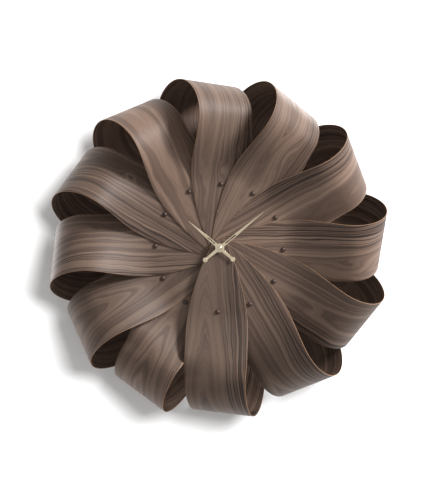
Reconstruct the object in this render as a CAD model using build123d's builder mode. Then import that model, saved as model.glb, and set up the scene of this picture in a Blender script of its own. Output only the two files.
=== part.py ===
"""Petal wall clock: twelve looped veneer petals on a hub, with a battery movement and brass hands.

The back of the clock lies on the plane Y = 0, the hands' axis is the line X = Z = 0,
12 o'clock is +Z, 3 o'clock is +X and the dial looks along -Y. A height is a distance from the wall.
"""
import math
import os

from build123d import *

# ---------------------------------------------------------------- petals
PETALS = 12
LOWEST_HOUR = 7             # the petal that was laid first, under all the others
VENEER = 1.2                # thickness of the laminated ribbon
LAYER_GAP = 0.2             # glue line between one petal and the next
LAYER = VENEER + LAYER_GAP
STACK_LIFT = 1.8            # from the front disc to the lowest petal
RIBBON_HALF = 67.5          # half the ribbon's full width
TONGUE_RADIUS = 19.6        # rounded inner end, centred on the hands' axis
FLARE_START_HALF = 20.9     # half width on the axis
FLARE_LENGTH = 190.0        # where the ribbon reaches its full width
FLARE_POWER = 1.8
CREST_RADIUS = 285.0        # where the front leaf stands highest
CREST_RISE = 38.0           # from the flat of the dial to the crest
CREST_SHIFT = 3.8           # sideways drift of the crest
RISE_START = {7: 180.0}
RISE_START_USUAL = 138.0
TWIST_START = {6: 228.0, 7: 232.0}
TWIST_START_USUAL = 140.0
FLAT_TILT = {6: 1.0, 7: 1.0}
FLAT_TILT_USUAL = 2.0
CREST_TILT = {1: 28.0, 2: 27.0, 3: 26.0, 4: 27.0, 5: 28.0, 6: 19.0,
              7: 21.0, 8: 25.0, 9: 26.0, 10: 28.0, 11: 29.0, 12: 29.5}
CURL_REACH = 74.6           # from the crest out to the fold
CURL_SKEW = 4.9             # how much further the raised rim reaches than the low one
REAR_CREST_HEIGHT = 36.0
TAIL_TURN = -16.5           # degrees from the petal's own hour to its tail
TAIL_INNER_RADIUS = 112.0
TAIL_OUTER_RADIUS = 168.0
TAIL_LIFT = 0.5             # glue line between the ring and a tail
TAIL_GAP = 1.2              # between neighbouring tails
DIAL_STATIONS = (-21.0, 5.0, 35.0, 65.0, 95.0, 125.0)
RISE_STATIONS = (145.0, 165.0, 185.0, 205.0, 225.0, 245.0, 265.0)
CURL_STATIONS = range(0, 181, 20)
REAR_STATIONS = (0.2, 0.4, 0.6, 0.8, 1.0)
TAIL_STATIONS = (150.0, 131.0, TAIL_INNER_RADIUS)

# ---------------------------------------------------------------- frame
DIAL_HEIGHT = 141.0         # front face of the front disc
DISC_RADIUS = 152.0
DISC_THICK = 6.0
BOSS_RADIUS = 15.0          # raised seat for the petals' inner ends
RING_THICK = 9.0
RING_INNER_RADIUS = 62.0
RING_OUTER_RADIUS = 158.0
PAD_THICK = 3.0
PAD_INNER_RADIUS = 134.0
PAD_OUTER_RADIUS = 154.0
POSTS = 6
POST_CIRCLE = 80.0
POST_RADIUS = 5.0
POST_SCREW_RADIUS = 2.0
POST_SCREW_HEAD = 3.8
POST_SCREW_LENGTH = 14.0
TAIL_SCREW_CIRCLE = 138.0
TAIL_SCREW_SPREAD = 15.0    # each side of the tail's middle
TAIL_SCREW_RADIUS = 1.75
TAIL_SCREW_HEAD = 3.4
TAIL_HEAD_TALL = 2.0
TAIL_SCREW_LENGTH = 7.0
TAIL_WASHER_RADIUS = 4.5
TAIL_WASHER_THICK = 0.8
HANGER_WIDTH = 46.0
HANGER_TALL = 24.0
HANGER_THICK = 2.2
HANGER_CIRCLE = 112.0
HANGER_HOLE_RADIUS = 4.0
HANGER_POCKET_RADIUS = 8.0
HANGER_SCREW_SPREAD = 17.0
HANGER_SCREW_RADIUS = 1.5
HANGER_SCREW_HEAD = 2.9
HANGER_SCREW_LENGTH = 6.0

# ---------------------------------------------------------------- hour markers
MARKER_CIRCLE = 138.7
MARKER_RADIUS = 5.2
MARKER_RIM = 0.6            # straight edge under the dome
MARKER_DOME = 3.8
MARKER_SHANK = 2.0
MARKER_SEAT_GAP = 0.35
SLEEVE_RADIUS = 4.0
MARKER_NUT_ACROSS = 7.0
MARKER_NUT_THICK = 2.4

# ---------------------------------------------------------------- hub
BUSH_RADIUS = 4.5
HUB_CLEARANCE = 0.4
HUB_HOLE = BUSH_RADIUS + HUB_CLEARANCE
RUBBER_THICK = 1.0
RUBBER_RADIUS = 12.0
WASHER_THICK = 0.8
WASHER_RADIUS = 9.3
HUB_NUT_ACROSS = 13.0
HUB_NUT_THICK = 3.0
SEAT_GAP = 0.1              # between the boss and the lowest petal
WASHER_GAP = 0.35           # glue line under the hub washer
ARBOR_RADIUS = 1.5
RUN_GAP = 0.06              # radial gap of a turning fit
TUBE_BORE = ARBOR_RADIUS + RUN_GAP
TUBE_RADIUS = 3.0
TUBE_CLEARANCE = 0.08
BUSH_BORE = TUBE_RADIUS + TUBE_CLEARANCE

# ---------------------------------------------------------------- hands
HAND_THICK = 1.0
HOUR_ANGLE = 309.0
HOUR_REACH = 89.3
HOUR_TAIL = 43.0
HOUR_SLOT = (13.6, 34.8)
HOUR_HUB = 9.8
MINUTE_ANGLE = 49.0
MINUTE_REACH = 124.4
MINUTE_TAIL = 45.9
MINUTE_SLOT = (15.8, 44.6)
MINUTE_HUB = 8.4
SLOT_WIDTH = 2.8
BLADE_ROOT = 7.8
BLADE_SLOT_END = 6.6
TAIL_ROOT = 8.0
TAIL_TIP = 5.2
TAIL_DISC = 5.2
HAND_SPACE = 2.0            # between the two hands
CAP_RADIUS = 4.4
CAP_RIM = 1.2
CAP_DOME = 2.2
STUD_RADIUS = 1.0
STUD_TALL = 2.2

# ---------------------------------------------------------------- movement
CASE_SIDE = 56.0
CASE_DEPTH = 16.5
CASE_WALL = 1.5
CASE_CORNER = 3.0
PIVOT_RADIUS = 0.3
STEM_RADIUS = 1.5
BATTERY_RADIUS = 7.2
BATTERY_BODY = 49.4
BATTERY_NUB = 1.1
BATTERY_NUB_RADIUS = 2.7
BATTERY_AXIS = (0.0, -19.0)
PARTITION = (-11.4, -10.4)
MOTION_MODULE = 0.4
MINUTE_PINION = 15
MOTION_WHEEL = 45
MOTION_PINION = 12
HOUR_WHEEL = 48
MOTION_BEARING = 80.0       # degrees, direction of the motion wheel from the centre
SECONDS_MODULE = 0.3
SECONDS_PINION = 8
THIRD_WHEEL = 64
THIRD_PINION = 8
CENTRE_WHEEL = 60
THIRD_BEARING = 180.0
REDUCER_MODULE = 0.25
REDUCER_PINION = 10
SECONDS_WHEEL = 60
REDUCER_BEARING = 20.0
ROTOR_MODULE = 0.2
ROTOR_PINION = 12
REDUCER_WHEEL = 60
ROTOR_BEARING = 65.0
MAGNET_RADIUS = 2.2
MAGNET_CLEARANCE = 0.6
STATOR_HOLE = MAGNET_RADIUS + MAGNET_CLEARANCE
COIL_LINE = 22.3            # how far above the centre the coil lies
KNOB_RADIUS = 5.0
KNOB_TALL = 3.6
KNOB_GROOVES = 18

# ---------------------------------------------------------------- worked out
PITCH = 360.0 / PETALS
RING_FRONT = PAD_THICK + RING_THICK
DISC_BACK = DIAL_HEIGHT - DISC_THICK
TAIL_HEIGHT = RING_FRONT + TAIL_LIFT + VENEER / 2
HUB_TOP = DIAL_HEIGHT + STACK_LIFT + (PETALS - 1) * LAYER + VENEER
WASHER_LOW = HUB_TOP + WASHER_GAP
NUT_LOW = WASHER_LOW + WASHER_THICK
BUSH_TOP = NUT_LOW + HUB_NUT_THICK + 0.5
HOUR_HAND_LOW = BUSH_TOP + 0.8
MINUTE_HAND_LOW = HOUR_HAND_LOW + HAND_THICK + HAND_SPACE
HAND_TOP = MINUTE_HAND_LOW + HAND_THICK
CASE_FRONT = DISC_BACK - RUBBER_THICK
INSIDE = CASE_FRONT - CASE_WALL
LID_FRONT = CASE_FRONT - CASE_DEPTH + CASE_WALL
LID_BACK = LID_FRONT - CASE_WALL
BATTERY_HEIGHT = INSIDE - 0.3 - BATTERY_RADIUS


def toward(bearing, distance):
    """A point at a distance from the centre, counter-clockwise from 3 o'clock."""
    angle = math.radians(bearing)
    return (distance * math.cos(angle), distance * math.sin(angle))


def shifted(point, bearing, distance):
    """A point moved along a bearing."""
    step = toward(bearing, distance)
    return (point[0] + step[0], point[1] + step[1])


CENTRE = (0.0, 0.0)
MOTION_AXIS = toward(MOTION_BEARING, MOTION_MODULE * (MINUTE_PINION + MOTION_WHEEL) / 2)
THIRD_DISTANCE = SECONDS_MODULE * (SECONDS_PINION + THIRD_WHEEL) / 2
THIRD_AXIS = toward(THIRD_BEARING, THIRD_DISTANCE)
THIRD_MODULE = 2 * THIRD_DISTANCE / (THIRD_PINION + CENTRE_WHEEL)
REDUCER_AXIS = toward(REDUCER_BEARING, REDUCER_MODULE * (REDUCER_PINION + SECONDS_WHEEL) / 2)
ROTOR_AXIS = shifted(REDUCER_AXIS, ROTOR_BEARING, ROTOR_MODULE * (ROTOR_PINION + REDUCER_WHEEL) / 2)


# ---------------------------------------------------------------- planes and plain shapes
def hour_plane(hour, height=0.0):
    """A plane parallel to the wall whose Y axis points at an hour and whose X axis runs clockwise."""
    turn = math.radians(PITCH * hour)
    return Plane(
        origin=(0, -height, 0),
        x_dir=(math.cos(turn), 0, -math.sin(turn)),
        z_dir=(0, -1, 0),
    )


def turning_plane(point):
    """A plane square to the wall through a point of the dial: X is a radius, Y is the height."""
    return Plane(origin=(point[0], 0, point[1]), x_dir=(1, 0, 0), z_dir=(0, 0, -1))


def turning_axis(point):
    return Axis((point[0], 0, point[1]), (0, -1, 0))


def on_circle(hour, radius):
    """A dial point on a circle at an hour."""
    turn = math.radians(PITCH * hour)
    return (radius * math.sin(turn), radius * math.cos(turn))


def drum(point, radius, low, high, mode=Mode.ADD):
    """A round bar or hole square to the wall, inside the current part."""
    with BuildSketch(Plane.XZ.offset(low)) as face:
        with Locations(point):
            Circle(radius)
    extrude(face.sketch, amount=high - low, mode=mode)


def slab(centre, size, low, high, mode=Mode.ADD):
    """A rectangular block parallel to the wall, inside the current part."""
    with BuildSketch(Plane.XZ.offset(low)) as face:
        with Locations(centre):
            Rectangle(*size)
    extrude(face.sketch, amount=high - low, mode=mode)


def dome(radius, low, rise):
    """The points of an arc from the rim of a dome to its top, centred on the turning axis."""
    ball = (radius**2 + rise**2) / (2 * rise)
    half_way = math.asin(radius / ball) / 2
    middle = (ball * math.sin(half_way), low + rise - ball * (1 - math.cos(half_way)))
    return (radius, low), middle, (0, low + rise)


def hexagon(point, across_flats, low, high):
    with BuildSketch(Plane.XZ.offset(low)) as face:
        with Locations(point):
            RegularPolygon(across_flats / 2, 6, major_radius=False)
    extrude(face.sketch, amount=high - low)


# ---------------------------------------------------------------- gears
WHEEL_FORM = {"addendum": 0.80, "dedendum": 1.15, "tip": 0.10, "pitch": 0.40, "root": 0.50}
PINION_FORM = {"addendum": 0.70, "dedendum": 1.25, "tip": 0.16, "pitch": 0.36, "root": 0.34}


def gear_points(point, teeth, module, first_tooth, form):
    """The outline of a gear. A form gives each tooth's width as a share of the tooth pitch."""
    radius = teeth * module / 2
    step = 360.0 / teeth
    shoulder = 0.62 * form["pitch"] + 0.38 * form["tip"]
    flank = [
        (radius - form["dedendum"] * module, form["root"]),
        (radius, form["pitch"]),
        (radius + form["addendum"] * module / 2, shoulder),
        (radius + form["addendum"] * module, form["tip"]),
    ]
    points = []
    for tooth in range(teeth):
        middle = first_tooth + tooth * step
        for distance, share in flank:
            points.append(shifted(point, middle - share * step / 2, distance))
        for distance, share in reversed(flank):
            points.append(shifted(point, middle + share * step / 2, distance))
    return points


def gear(point, teeth, module, first_tooth, form, low, high):
    """A toothed disc, inside the current part."""
    with BuildSketch(Plane.XZ.offset(low)) as face:
        with BuildLine():
            Polyline(*gear_points(point, teeth, module, first_tooth, form), close=True)
        make_face()
    extrude(face.sketch, amount=high - low)


def meshing_tooth(first_tooth, teeth, other_teeth, bearing):
    """Where the other gear's first tooth stands so that it meets this gear's teeth along a bearing."""
    return bearing + 180.0 - (first_tooth - bearing) * teeth / other_teeth - 180.0 / other_teeth


# ---------------------------------------------------------------- petal shape
def ease(share):
    """From 0 to 1, level at both ends."""
    share = max(0.0, min(1.0, share))
    return share * share * (3 - 2 * share)


def layer_of(hour):
    return (hour - LOWEST_HOUR) % PETALS


def half_width(along):
    if along >= FLARE_LENGTH:
        return RIBBON_HALF
    spread = RIBBON_HALF - FLARE_START_HALF
    return max(TONGUE_RADIUS, RIBBON_HALF - spread * (1 - along / FLARE_LENGTH) ** FLARE_POWER)


def dial_level(hour):
    """Height of the middle of a petal's thickness where it lies flat on the dial."""
    return DIAL_HEIGHT + STACK_LIFT + VENEER / 2 + layer_of(hour) * LAYER


def front_station(hour, along):
    """Middle point, direction across and half width of the front leaf, in the petal's own axes."""
    rise_start = RISE_START.get(hour, RISE_START_USUAL)
    twist_start = TWIST_START.get(hour, TWIST_START_USUAL)
    flat_tilt = FLAT_TILT.get(hour, FLAT_TILT_USUAL) * ease(along / TWIST_START_USUAL * 2)
    twist = ease((along - twist_start) / (CREST_RADIUS - twist_start))
    tilt = math.radians(flat_tilt + (CREST_TILT[hour] - flat_tilt) * twist)
    rise = CREST_RISE * ease((along - rise_start) / (CREST_RADIUS - rise_start))
    shift = CREST_SHIFT * ease((along - RISE_START_USUAL) / (CREST_RADIUS - RISE_START_USUAL))
    middle = Vector(shift, along, dial_level(hour) + rise)
    return middle, Vector(math.cos(tilt), 0, -math.sin(tilt)), half_width(along)


def curl_station(hour, turn):
    """The same for the loop, from the front crest at 0 to the rear crest at 180 degrees."""
    crest, across, half = front_station(hour, CREST_RADIUS)
    tilt = math.radians(CREST_TILT[hour])
    outward = Vector(math.sin(tilt), 0, math.cos(tilt))
    depth = (crest.Z - REAR_CREST_HEIGHT) / (2 * math.cos(tilt))
    angle = math.radians(turn)
    middle = crest + Vector(0, CURL_REACH * math.sin(angle), 0) - outward * depth * (1 - math.cos(angle))
    edge = across * half - Vector(0, CURL_SKEW * math.sin(angle), 0)
    return middle, edge.normalized(), edge.length


def tail_half(radius):
    """Half the width that leaves neighbouring tails a gap."""
    return min(RIBBON_HALF, radius * math.tan(math.radians(PITCH / 2)) - TAIL_GAP / 2)


def tail_point(radius):
    turn = math.radians(TAIL_TURN)
    return Vector(radius * math.sin(turn), radius * math.cos(turn), TAIL_HEIGHT)


def rear_station(hour, share):
    """The same for the rear leaf, from the rear crest at 0 to the edge of the ring at 1."""
    start = curl_station(hour, 180)[0]
    end = tail_point(TAIL_OUTER_RADIUS)
    length = (end - start).length
    leave = Vector(0, -length, 0)
    arrive = (tail_point(TAIL_INNER_RADIUS) - end).normalized() * length
    s = share
    middle = (
        start * (2 * s**3 - 3 * s**2 + 1)
        + leave * (s**3 - 2 * s**2 + s)
        + end * (3 * s**2 - 2 * s**3)
        + arrive * (s**3 - s**2)
    )
    tilt = math.radians(CREST_TILT[hour]) * (1 - ease(share))
    turn = math.radians(TAIL_TURN) * ease(share)
    across = Vector(
        math.cos(turn) * math.cos(tilt),
        -math.sin(turn) * math.cos(tilt),
        -math.sin(tilt),
    )
    return middle, across, tail_half(math.hypot(middle.X, middle.Y))


def tail_station(radius):
    """The same for the flat tail on the ring."""
    turn = math.radians(TAIL_TURN)
    return tail_point(radius), Vector(math.cos(turn), -math.sin(turn), 0), tail_half(radius)


def petal_stations(hour):
    stations = [front_station(hour, along) for along in DIAL_STATIONS + RISE_STATIONS]
    stations += [curl_station(hour, turn) for turn in CURL_STATIONS]
    stations += [rear_station(hour, share) for share in REAR_STATIONS]
    stations += [tail_station(radius) for radius in TAIL_STATIONS]
    return stations


def section_planes(hour):
    """Planes square to the ribbon, each with the ribbon's half width there."""
    frame = hour_plane(hour)
    stations = petal_stations(hour)
    middles = [station[0] for station in stations]
    planes = []
    for index, (middle, across, half) in enumerate(stations):
        before = middles[max(index - 1, 0)]
        after = middles[min(index + 1, len(middles) - 1)]
        face = across.cross(after - before).normalized()
        origin = frame.from_local_coords(middle)
        x_dir = frame.from_local_coords(middle + across) - origin
        y_dir = frame.from_local_coords(middle + face) - origin
        planes.append((Plane(origin=origin, x_dir=x_dir, z_dir=x_dir.cross(y_dir)), half))
    return planes


def tail_screw_hours():
    """The hour directions of the tails' middles."""
    return [hour + TAIL_TURN / PITCH for hour in range(1, PETALS + 1)]


os.makedirs("parts", exist_ok=True)
made = []


def finish(part, label):
    """Name a finished piece and write it."""
    part.label = label
    export_step(part, f"parts/{label}.step")
    made.append(label)


# ---------------------------------------------------------------- the twelve petals
for hour in range(1, PETALS + 1):
    with BuildPart() as petal:
        for plane, half in section_planes(hour):
            with BuildSketch(plane):
                Rectangle(2 * half, VENEER)
        loft()
        # the inner end is a round tongue about the hands' axis
        with BuildSketch(hour_plane(hour, DIAL_HEIGHT - 1)):
            with Locations((0, -TONGUE_RADIUS)):
                Rectangle(3 * TONGUE_RADIUS, 2 * TONGUE_RADIUS * 0.66)
            Circle(TONGUE_RADIUS, mode=Mode.SUBTRACT)
        extrude(amount=HUB_TOP - DIAL_HEIGHT + 4, mode=Mode.SUBTRACT)
        # holes for the hub bush and the marker's shank
        with BuildSketch(hour_plane(hour, DIAL_HEIGHT - 1)):
            Circle(HUB_HOLE)
            with Locations((0, MARKER_CIRCLE)):
                Circle(MARKER_SHANK + 0.2)
        extrude(amount=HUB_TOP - DIAL_HEIGHT + 6, mode=Mode.SUBTRACT)
        # holes for the tail's two screws
        with BuildSketch(hour_plane(hour + TAIL_TURN / PITCH, RING_FRONT - 1)):
            with Locations((-TAIL_SCREW_SPREAD, TAIL_SCREW_CIRCLE), (TAIL_SCREW_SPREAD, TAIL_SCREW_CIRCLE)):
                Circle(TAIL_SCREW_RADIUS + 0.2)
        extrude(amount=4, mode=Mode.SUBTRACT)
    finish(petal.part, f"petal_{hour:02d}")

# ---------------------------------------------------------------- frame
with BuildPart() as front_disc:
    drum(CENTRE, DISC_RADIUS, DISC_BACK, DIAL_HEIGHT)
    drum(CENTRE, BOSS_RADIUS, DIAL_HEIGHT, DIAL_HEIGHT + STACK_LIFT - SEAT_GAP)
    drum(CENTRE, HUB_HOLE, DISC_BACK, DIAL_HEIGHT + STACK_LIFT, Mode.SUBTRACT)
    for hour in range(1, PETALS + 1):
        drum(on_circle(hour, MARKER_CIRCLE), MARKER_SHANK, DISC_BACK, DIAL_HEIGHT, Mode.SUBTRACT)
    for post in range(POSTS):
        point = on_circle(1 + 2 * post, POST_CIRCLE)
        with Locations(Plane(origin=(point[0], -DIAL_HEIGHT, point[1]), z_dir=(0, -1, 0))):
            CounterSinkHole(POST_SCREW_RADIUS, POST_SCREW_HEAD, DISC_THICK)
finish(front_disc.part, "front_disc")

with BuildPart() as rear_ring:
    drum(CENTRE, RING_OUTER_RADIUS, PAD_THICK, RING_FRONT)
    drum(CENTRE, RING_INNER_RADIUS, PAD_THICK, RING_FRONT, Mode.SUBTRACT)
    for post in range(POSTS):
        point = on_circle(1 + 2 * post, POST_CIRCLE)
        with Locations(Plane(origin=(point[0], -PAD_THICK, point[1]), z_dir=(0, 1, 0))):
            CounterSinkHole(POST_SCREW_RADIUS, POST_SCREW_HEAD, RING_THICK)
    for direction in tail_screw_hours():
        with BuildSketch(hour_plane(direction, RING_FRONT)):
            with Locations((-TAIL_SCREW_SPREAD, TAIL_SCREW_CIRCLE), (TAIL_SCREW_SPREAD, TAIL_SCREW_CIRCLE)):
                Circle(TAIL_SCREW_RADIUS)
        extrude(amount=-TAIL_SCREW_LENGTH, mode=Mode.SUBTRACT)
    drum((0, HANGER_CIRCLE), HANGER_POCKET_RADIUS, PAD_THICK, RING_FRONT, Mode.SUBTRACT)
    for side in (-1, 1):
        drum((side * HANGER_SCREW_SPREAD, HANGER_CIRCLE), HANGER_SCREW_RADIUS,
             PAD_THICK, PAD_THICK + HANGER_SCREW_LENGTH, Mode.SUBTRACT)
finish(rear_ring.part, "rear_ring")

with BuildPart() as wall_pad:
    drum(CENTRE, PAD_OUTER_RADIUS, 0, PAD_THICK)
    drum(CENTRE, PAD_INNER_RADIUS, 0, PAD_THICK, Mode.SUBTRACT)
finish(wall_pad.part, "wall_pad")

with BuildPart() as spacer_posts:
    for post in range(POSTS):
        point = on_circle(1 + 2 * post, POST_CIRCLE)
        drum(point, POST_RADIUS, RING_FRONT, DISC_BACK)
        drum(point, POST_SCREW_RADIUS, RING_FRONT, RING_FRONT + POST_SCREW_LENGTH, Mode.SUBTRACT)
        drum(point, POST_SCREW_RADIUS, DISC_BACK - POST_SCREW_LENGTH, DISC_BACK, Mode.SUBTRACT)
finish(spacer_posts.part, "spacer_posts")


def sunk_screw(point, face, into, radius, head, length):
    """A countersunk screw whose flat head lies in a face, pointing up (+1) or down (-1) in height."""
    slope = head - radius
    with BuildSketch(turning_plane(point)) as profile:
        with BuildLine():
            Polyline(
                (0, face), (head, face), (radius, face + into * slope),
                (radius, face + into * length), (0, face + into * length), close=True,
            )
        make_face()
    revolve(profile.sketch, axis=turning_axis(point))


with BuildPart() as post_front_screws:
    for post in range(POSTS):
        sunk_screw(on_circle(1 + 2 * post, POST_CIRCLE), DIAL_HEIGHT, -1,
                   POST_SCREW_RADIUS, POST_SCREW_HEAD, DISC_THICK + POST_SCREW_LENGTH - 1)
finish(post_front_screws.part, "post_front_screws")

with BuildPart() as post_rear_screws:
    for post in range(POSTS):
        sunk_screw(on_circle(1 + 2 * post, POST_CIRCLE), PAD_THICK, 1,
                   POST_SCREW_RADIUS, POST_SCREW_HEAD, RING_THICK + POST_SCREW_LENGTH - 1)
finish(post_rear_screws.part, "post_rear_screws")

WASHER_SEAT = RING_FRONT + TAIL_LIFT + VENEER + 0.3
SCREW_SEAT = WASHER_SEAT + TAIL_WASHER_THICK


def tail_screw_points():
    """Dial points of all the tail screws."""
    points = []
    for direction in tail_screw_hours():
        for side in (-1, 1):
            turn = direction + math.degrees(math.atan2(side * TAIL_SCREW_SPREAD, TAIL_SCREW_CIRCLE)) / PITCH
            points.append(on_circle(turn, math.hypot(TAIL_SCREW_CIRCLE, TAIL_SCREW_SPREAD)))
    return points


with BuildPart() as tail_washers:
    for point in tail_screw_points():
        drum(point, TAIL_WASHER_RADIUS, WASHER_SEAT, SCREW_SEAT)
        drum(point, TAIL_SCREW_RADIUS + 0.1, WASHER_SEAT, SCREW_SEAT, Mode.SUBTRACT)
finish(tail_washers.part, "tail_washers")

with BuildPart() as tail_screws:
    for point in tail_screw_points():
        with BuildSketch(turning_plane(point)):
            with BuildLine():
                Line((0, SCREW_SEAT + TAIL_HEAD_TALL), (0, RING_FRONT - TAIL_SCREW_LENGTH))
                Line((0, RING_FRONT - TAIL_SCREW_LENGTH), (TAIL_SCREW_RADIUS, RING_FRONT - TAIL_SCREW_LENGTH))
                Line((TAIL_SCREW_RADIUS, RING_FRONT - TAIL_SCREW_LENGTH), (TAIL_SCREW_RADIUS, SCREW_SEAT))
                Line((TAIL_SCREW_RADIUS, SCREW_SEAT), (TAIL_SCREW_HEAD, SCREW_SEAT))
                ThreePointArc(*dome(TAIL_SCREW_HEAD, SCREW_SEAT, TAIL_HEAD_TALL))
            make_face()
        revolve(axis=turning_axis(point))
finish(tail_screws.part, "tail_screws")

with BuildPart() as hanger_plate:
    slab((0, HANGER_CIRCLE), (HANGER_WIDTH, HANGER_TALL), PAD_THICK - HANGER_THICK, PAD_THICK)
    fillet(hanger_plate.edges().filter_by(Axis.Y), 4)
    drum((0, HANGER_CIRCLE), HANGER_HOLE_RADIUS, PAD_THICK - HANGER_THICK, PAD_THICK, Mode.SUBTRACT)
    for side in (-1, 1):
        spot = (side * HANGER_SCREW_SPREAD, -(PAD_THICK - HANGER_THICK), HANGER_CIRCLE)
        with Locations(Plane(origin=spot, z_dir=(0, 1, 0))):
            CounterSinkHole(HANGER_SCREW_RADIUS, HANGER_SCREW_HEAD, HANGER_THICK)
finish(hanger_plate.part, "hanger_plate")

with BuildPart() as hanger_screws:
    for side in (-1, 1):
        sunk_screw((side * HANGER_SCREW_SPREAD, HANGER_CIRCLE), PAD_THICK - HANGER_THICK, 1,
                   HANGER_SCREW_RADIUS, HANGER_SCREW_HEAD, HANGER_THICK + HANGER_SCREW_LENGTH - 0.5)
finish(hanger_screws.part, "hanger_screws")

# ---------------------------------------------------------------- hour markers
with BuildPart() as hour_markers:
    for hour in range(1, PETALS + 1):
        point = on_circle(hour, MARKER_CIRCLE)
        seat = front_station(hour, MARKER_CIRCLE)[0].Z + VENEER / 2 + MARKER_SEAT_GAP
        foot = DISC_BACK - MARKER_NUT_THICK - 0.6
        with BuildSketch(turning_plane(point)):
            with BuildLine():
                Line((0, foot), (MARKER_SHANK, foot))
                Line((MARKER_SHANK, foot), (MARKER_SHANK, seat))
                Line((MARKER_SHANK, seat), (MARKER_RADIUS, seat))
                Line((MARKER_RADIUS, seat), (MARKER_RADIUS, seat + MARKER_RIM))
                ThreePointArc(*dome(MARKER_RADIUS, seat + MARKER_RIM, MARKER_DOME))
                Line((0, seat + MARKER_RIM + MARKER_DOME), (0, foot))
            make_face()
        revolve(axis=turning_axis(point))
finish(hour_markers.part, "hour_markers")

with BuildPart() as marker_spacers:
    for hour in range(1, PETALS + 1):
        point = on_circle(hour, MARKER_CIRCLE)
        top = front_station(hour, MARKER_CIRCLE)[0].Z - VENEER / 2 - MARKER_SEAT_GAP
        drum(point, SLEEVE_RADIUS, DIAL_HEIGHT, top)
        drum(point, MARKER_SHANK + 0.1, DIAL_HEIGHT, top, Mode.SUBTRACT)
finish(marker_spacers.part, "marker_spacers")

with BuildPart() as marker_nuts:
    for hour in range(1, PETALS + 1):
        point = on_circle(hour, MARKER_CIRCLE)
        hexagon(point, MARKER_NUT_ACROSS, DISC_BACK - MARKER_NUT_THICK, DISC_BACK)
        drum(point, MARKER_SHANK, DISC_BACK - MARKER_NUT_THICK, DISC_BACK, Mode.SUBTRACT)
finish(marker_nuts.part, "marker_nuts")

# ---------------------------------------------------------------- hub hardware
with BuildPart() as mounting_bush:
    drum(CENTRE, BUSH_RADIUS, INSIDE, BUSH_TOP)
    chamfer(mounting_bush.edges().group_by(Axis.Y)[0], 0.4)
    drum(CENTRE, BUSH_BORE, INSIDE, BUSH_TOP, Mode.SUBTRACT)
finish(mounting_bush.part, "mounting_bush")

with BuildPart() as rubber_washer:
    drum(CENTRE, RUBBER_RADIUS, CASE_FRONT, DISC_BACK)
    drum(CENTRE, BUSH_RADIUS, CASE_FRONT, DISC_BACK, Mode.SUBTRACT)
finish(rubber_washer.part, "rubber_washer")

with BuildPart() as hub_washer:
    drum(CENTRE, WASHER_RADIUS, WASHER_LOW, NUT_LOW)
    drum(CENTRE, BUSH_RADIUS, WASHER_LOW, NUT_LOW, Mode.SUBTRACT)
finish(hub_washer.part, "hub_washer")

with BuildPart() as hub_nut:
    hexagon(CENTRE, HUB_NUT_ACROSS, NUT_LOW, NUT_LOW + HUB_NUT_THICK)
    drum(CENTRE, BUSH_RADIUS, NUT_LOW, NUT_LOW + HUB_NUT_THICK, Mode.SUBTRACT)
finish(hub_nut.part, "hub_nut")


# ---------------------------------------------------------------- hands
def hand(hour, low, reach, tail, slot, hub, bore):
    """A flat slotted hand with a disc at its tail, inside the current part."""
    with BuildSketch(hour_plane(hour, low)) as outline:
        with BuildLine():
            Polyline(
                (-BLADE_ROOT / 2, 0), (-BLADE_SLOT_END / 2, slot[1]), (0, reach),
                (BLADE_SLOT_END / 2, slot[1]), (BLADE_ROOT / 2, 0), close=True,
            )
        make_face()
        with BuildLine():
            Polyline(
                (-TAIL_ROOT / 2, 0), (-TAIL_TIP / 2, TAIL_DISC - tail),
                (TAIL_TIP / 2, TAIL_DISC - tail), (TAIL_ROOT / 2, 0), close=True,
            )
        make_face()
        with Locations((0, TAIL_DISC - tail)):
            Circle(TAIL_DISC)
        Circle(hub)
        fillet(outline.vertices().group_by(SortBy.DISTANCE)[-1], 0.3)
        with Locations((0, (slot[0] + slot[1]) / 2)):
            SlotOverall(slot[1] - slot[0], SLOT_WIDTH, rotation=90, mode=Mode.SUBTRACT)
        Circle(bore, mode=Mode.SUBTRACT)
    extrude(outline.sketch, amount=HAND_THICK)


with BuildPart() as hour_hand:
    hand(HOUR_ANGLE / PITCH, HOUR_HAND_LOW, HOUR_REACH, HOUR_TAIL, HOUR_SLOT, HOUR_HUB, TUBE_RADIUS)
finish(hour_hand.part, "hour_hand")

with BuildPart() as minute_hand:
    hand(MINUTE_ANGLE / PITCH, MINUTE_HAND_LOW, MINUTE_REACH, MINUTE_TAIL, MINUTE_SLOT, MINUTE_HUB,
         ARBOR_RADIUS)
finish(minute_hand.part, "minute_hand")

with BuildPart() as hand_cap:
    with BuildSketch(turning_plane(CENTRE)):
        with BuildLine():
            Line((0, HAND_TOP), (CAP_RADIUS, HAND_TOP))
            Line((CAP_RADIUS, HAND_TOP), (CAP_RADIUS, HAND_TOP + CAP_RIM))
            ThreePointArc(*dome(CAP_RADIUS, HAND_TOP + CAP_RIM, CAP_DOME))
            Line((0, HAND_TOP + CAP_RIM + CAP_DOME), (0, HAND_TOP))
        make_face()
    revolve(axis=turning_axis(CENTRE))
    drum(CENTRE, STUD_RADIUS, HAND_TOP, HAND_TOP + STUD_TALL, Mode.SUBTRACT)
finish(hand_cap.part, "hand_cap")

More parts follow.
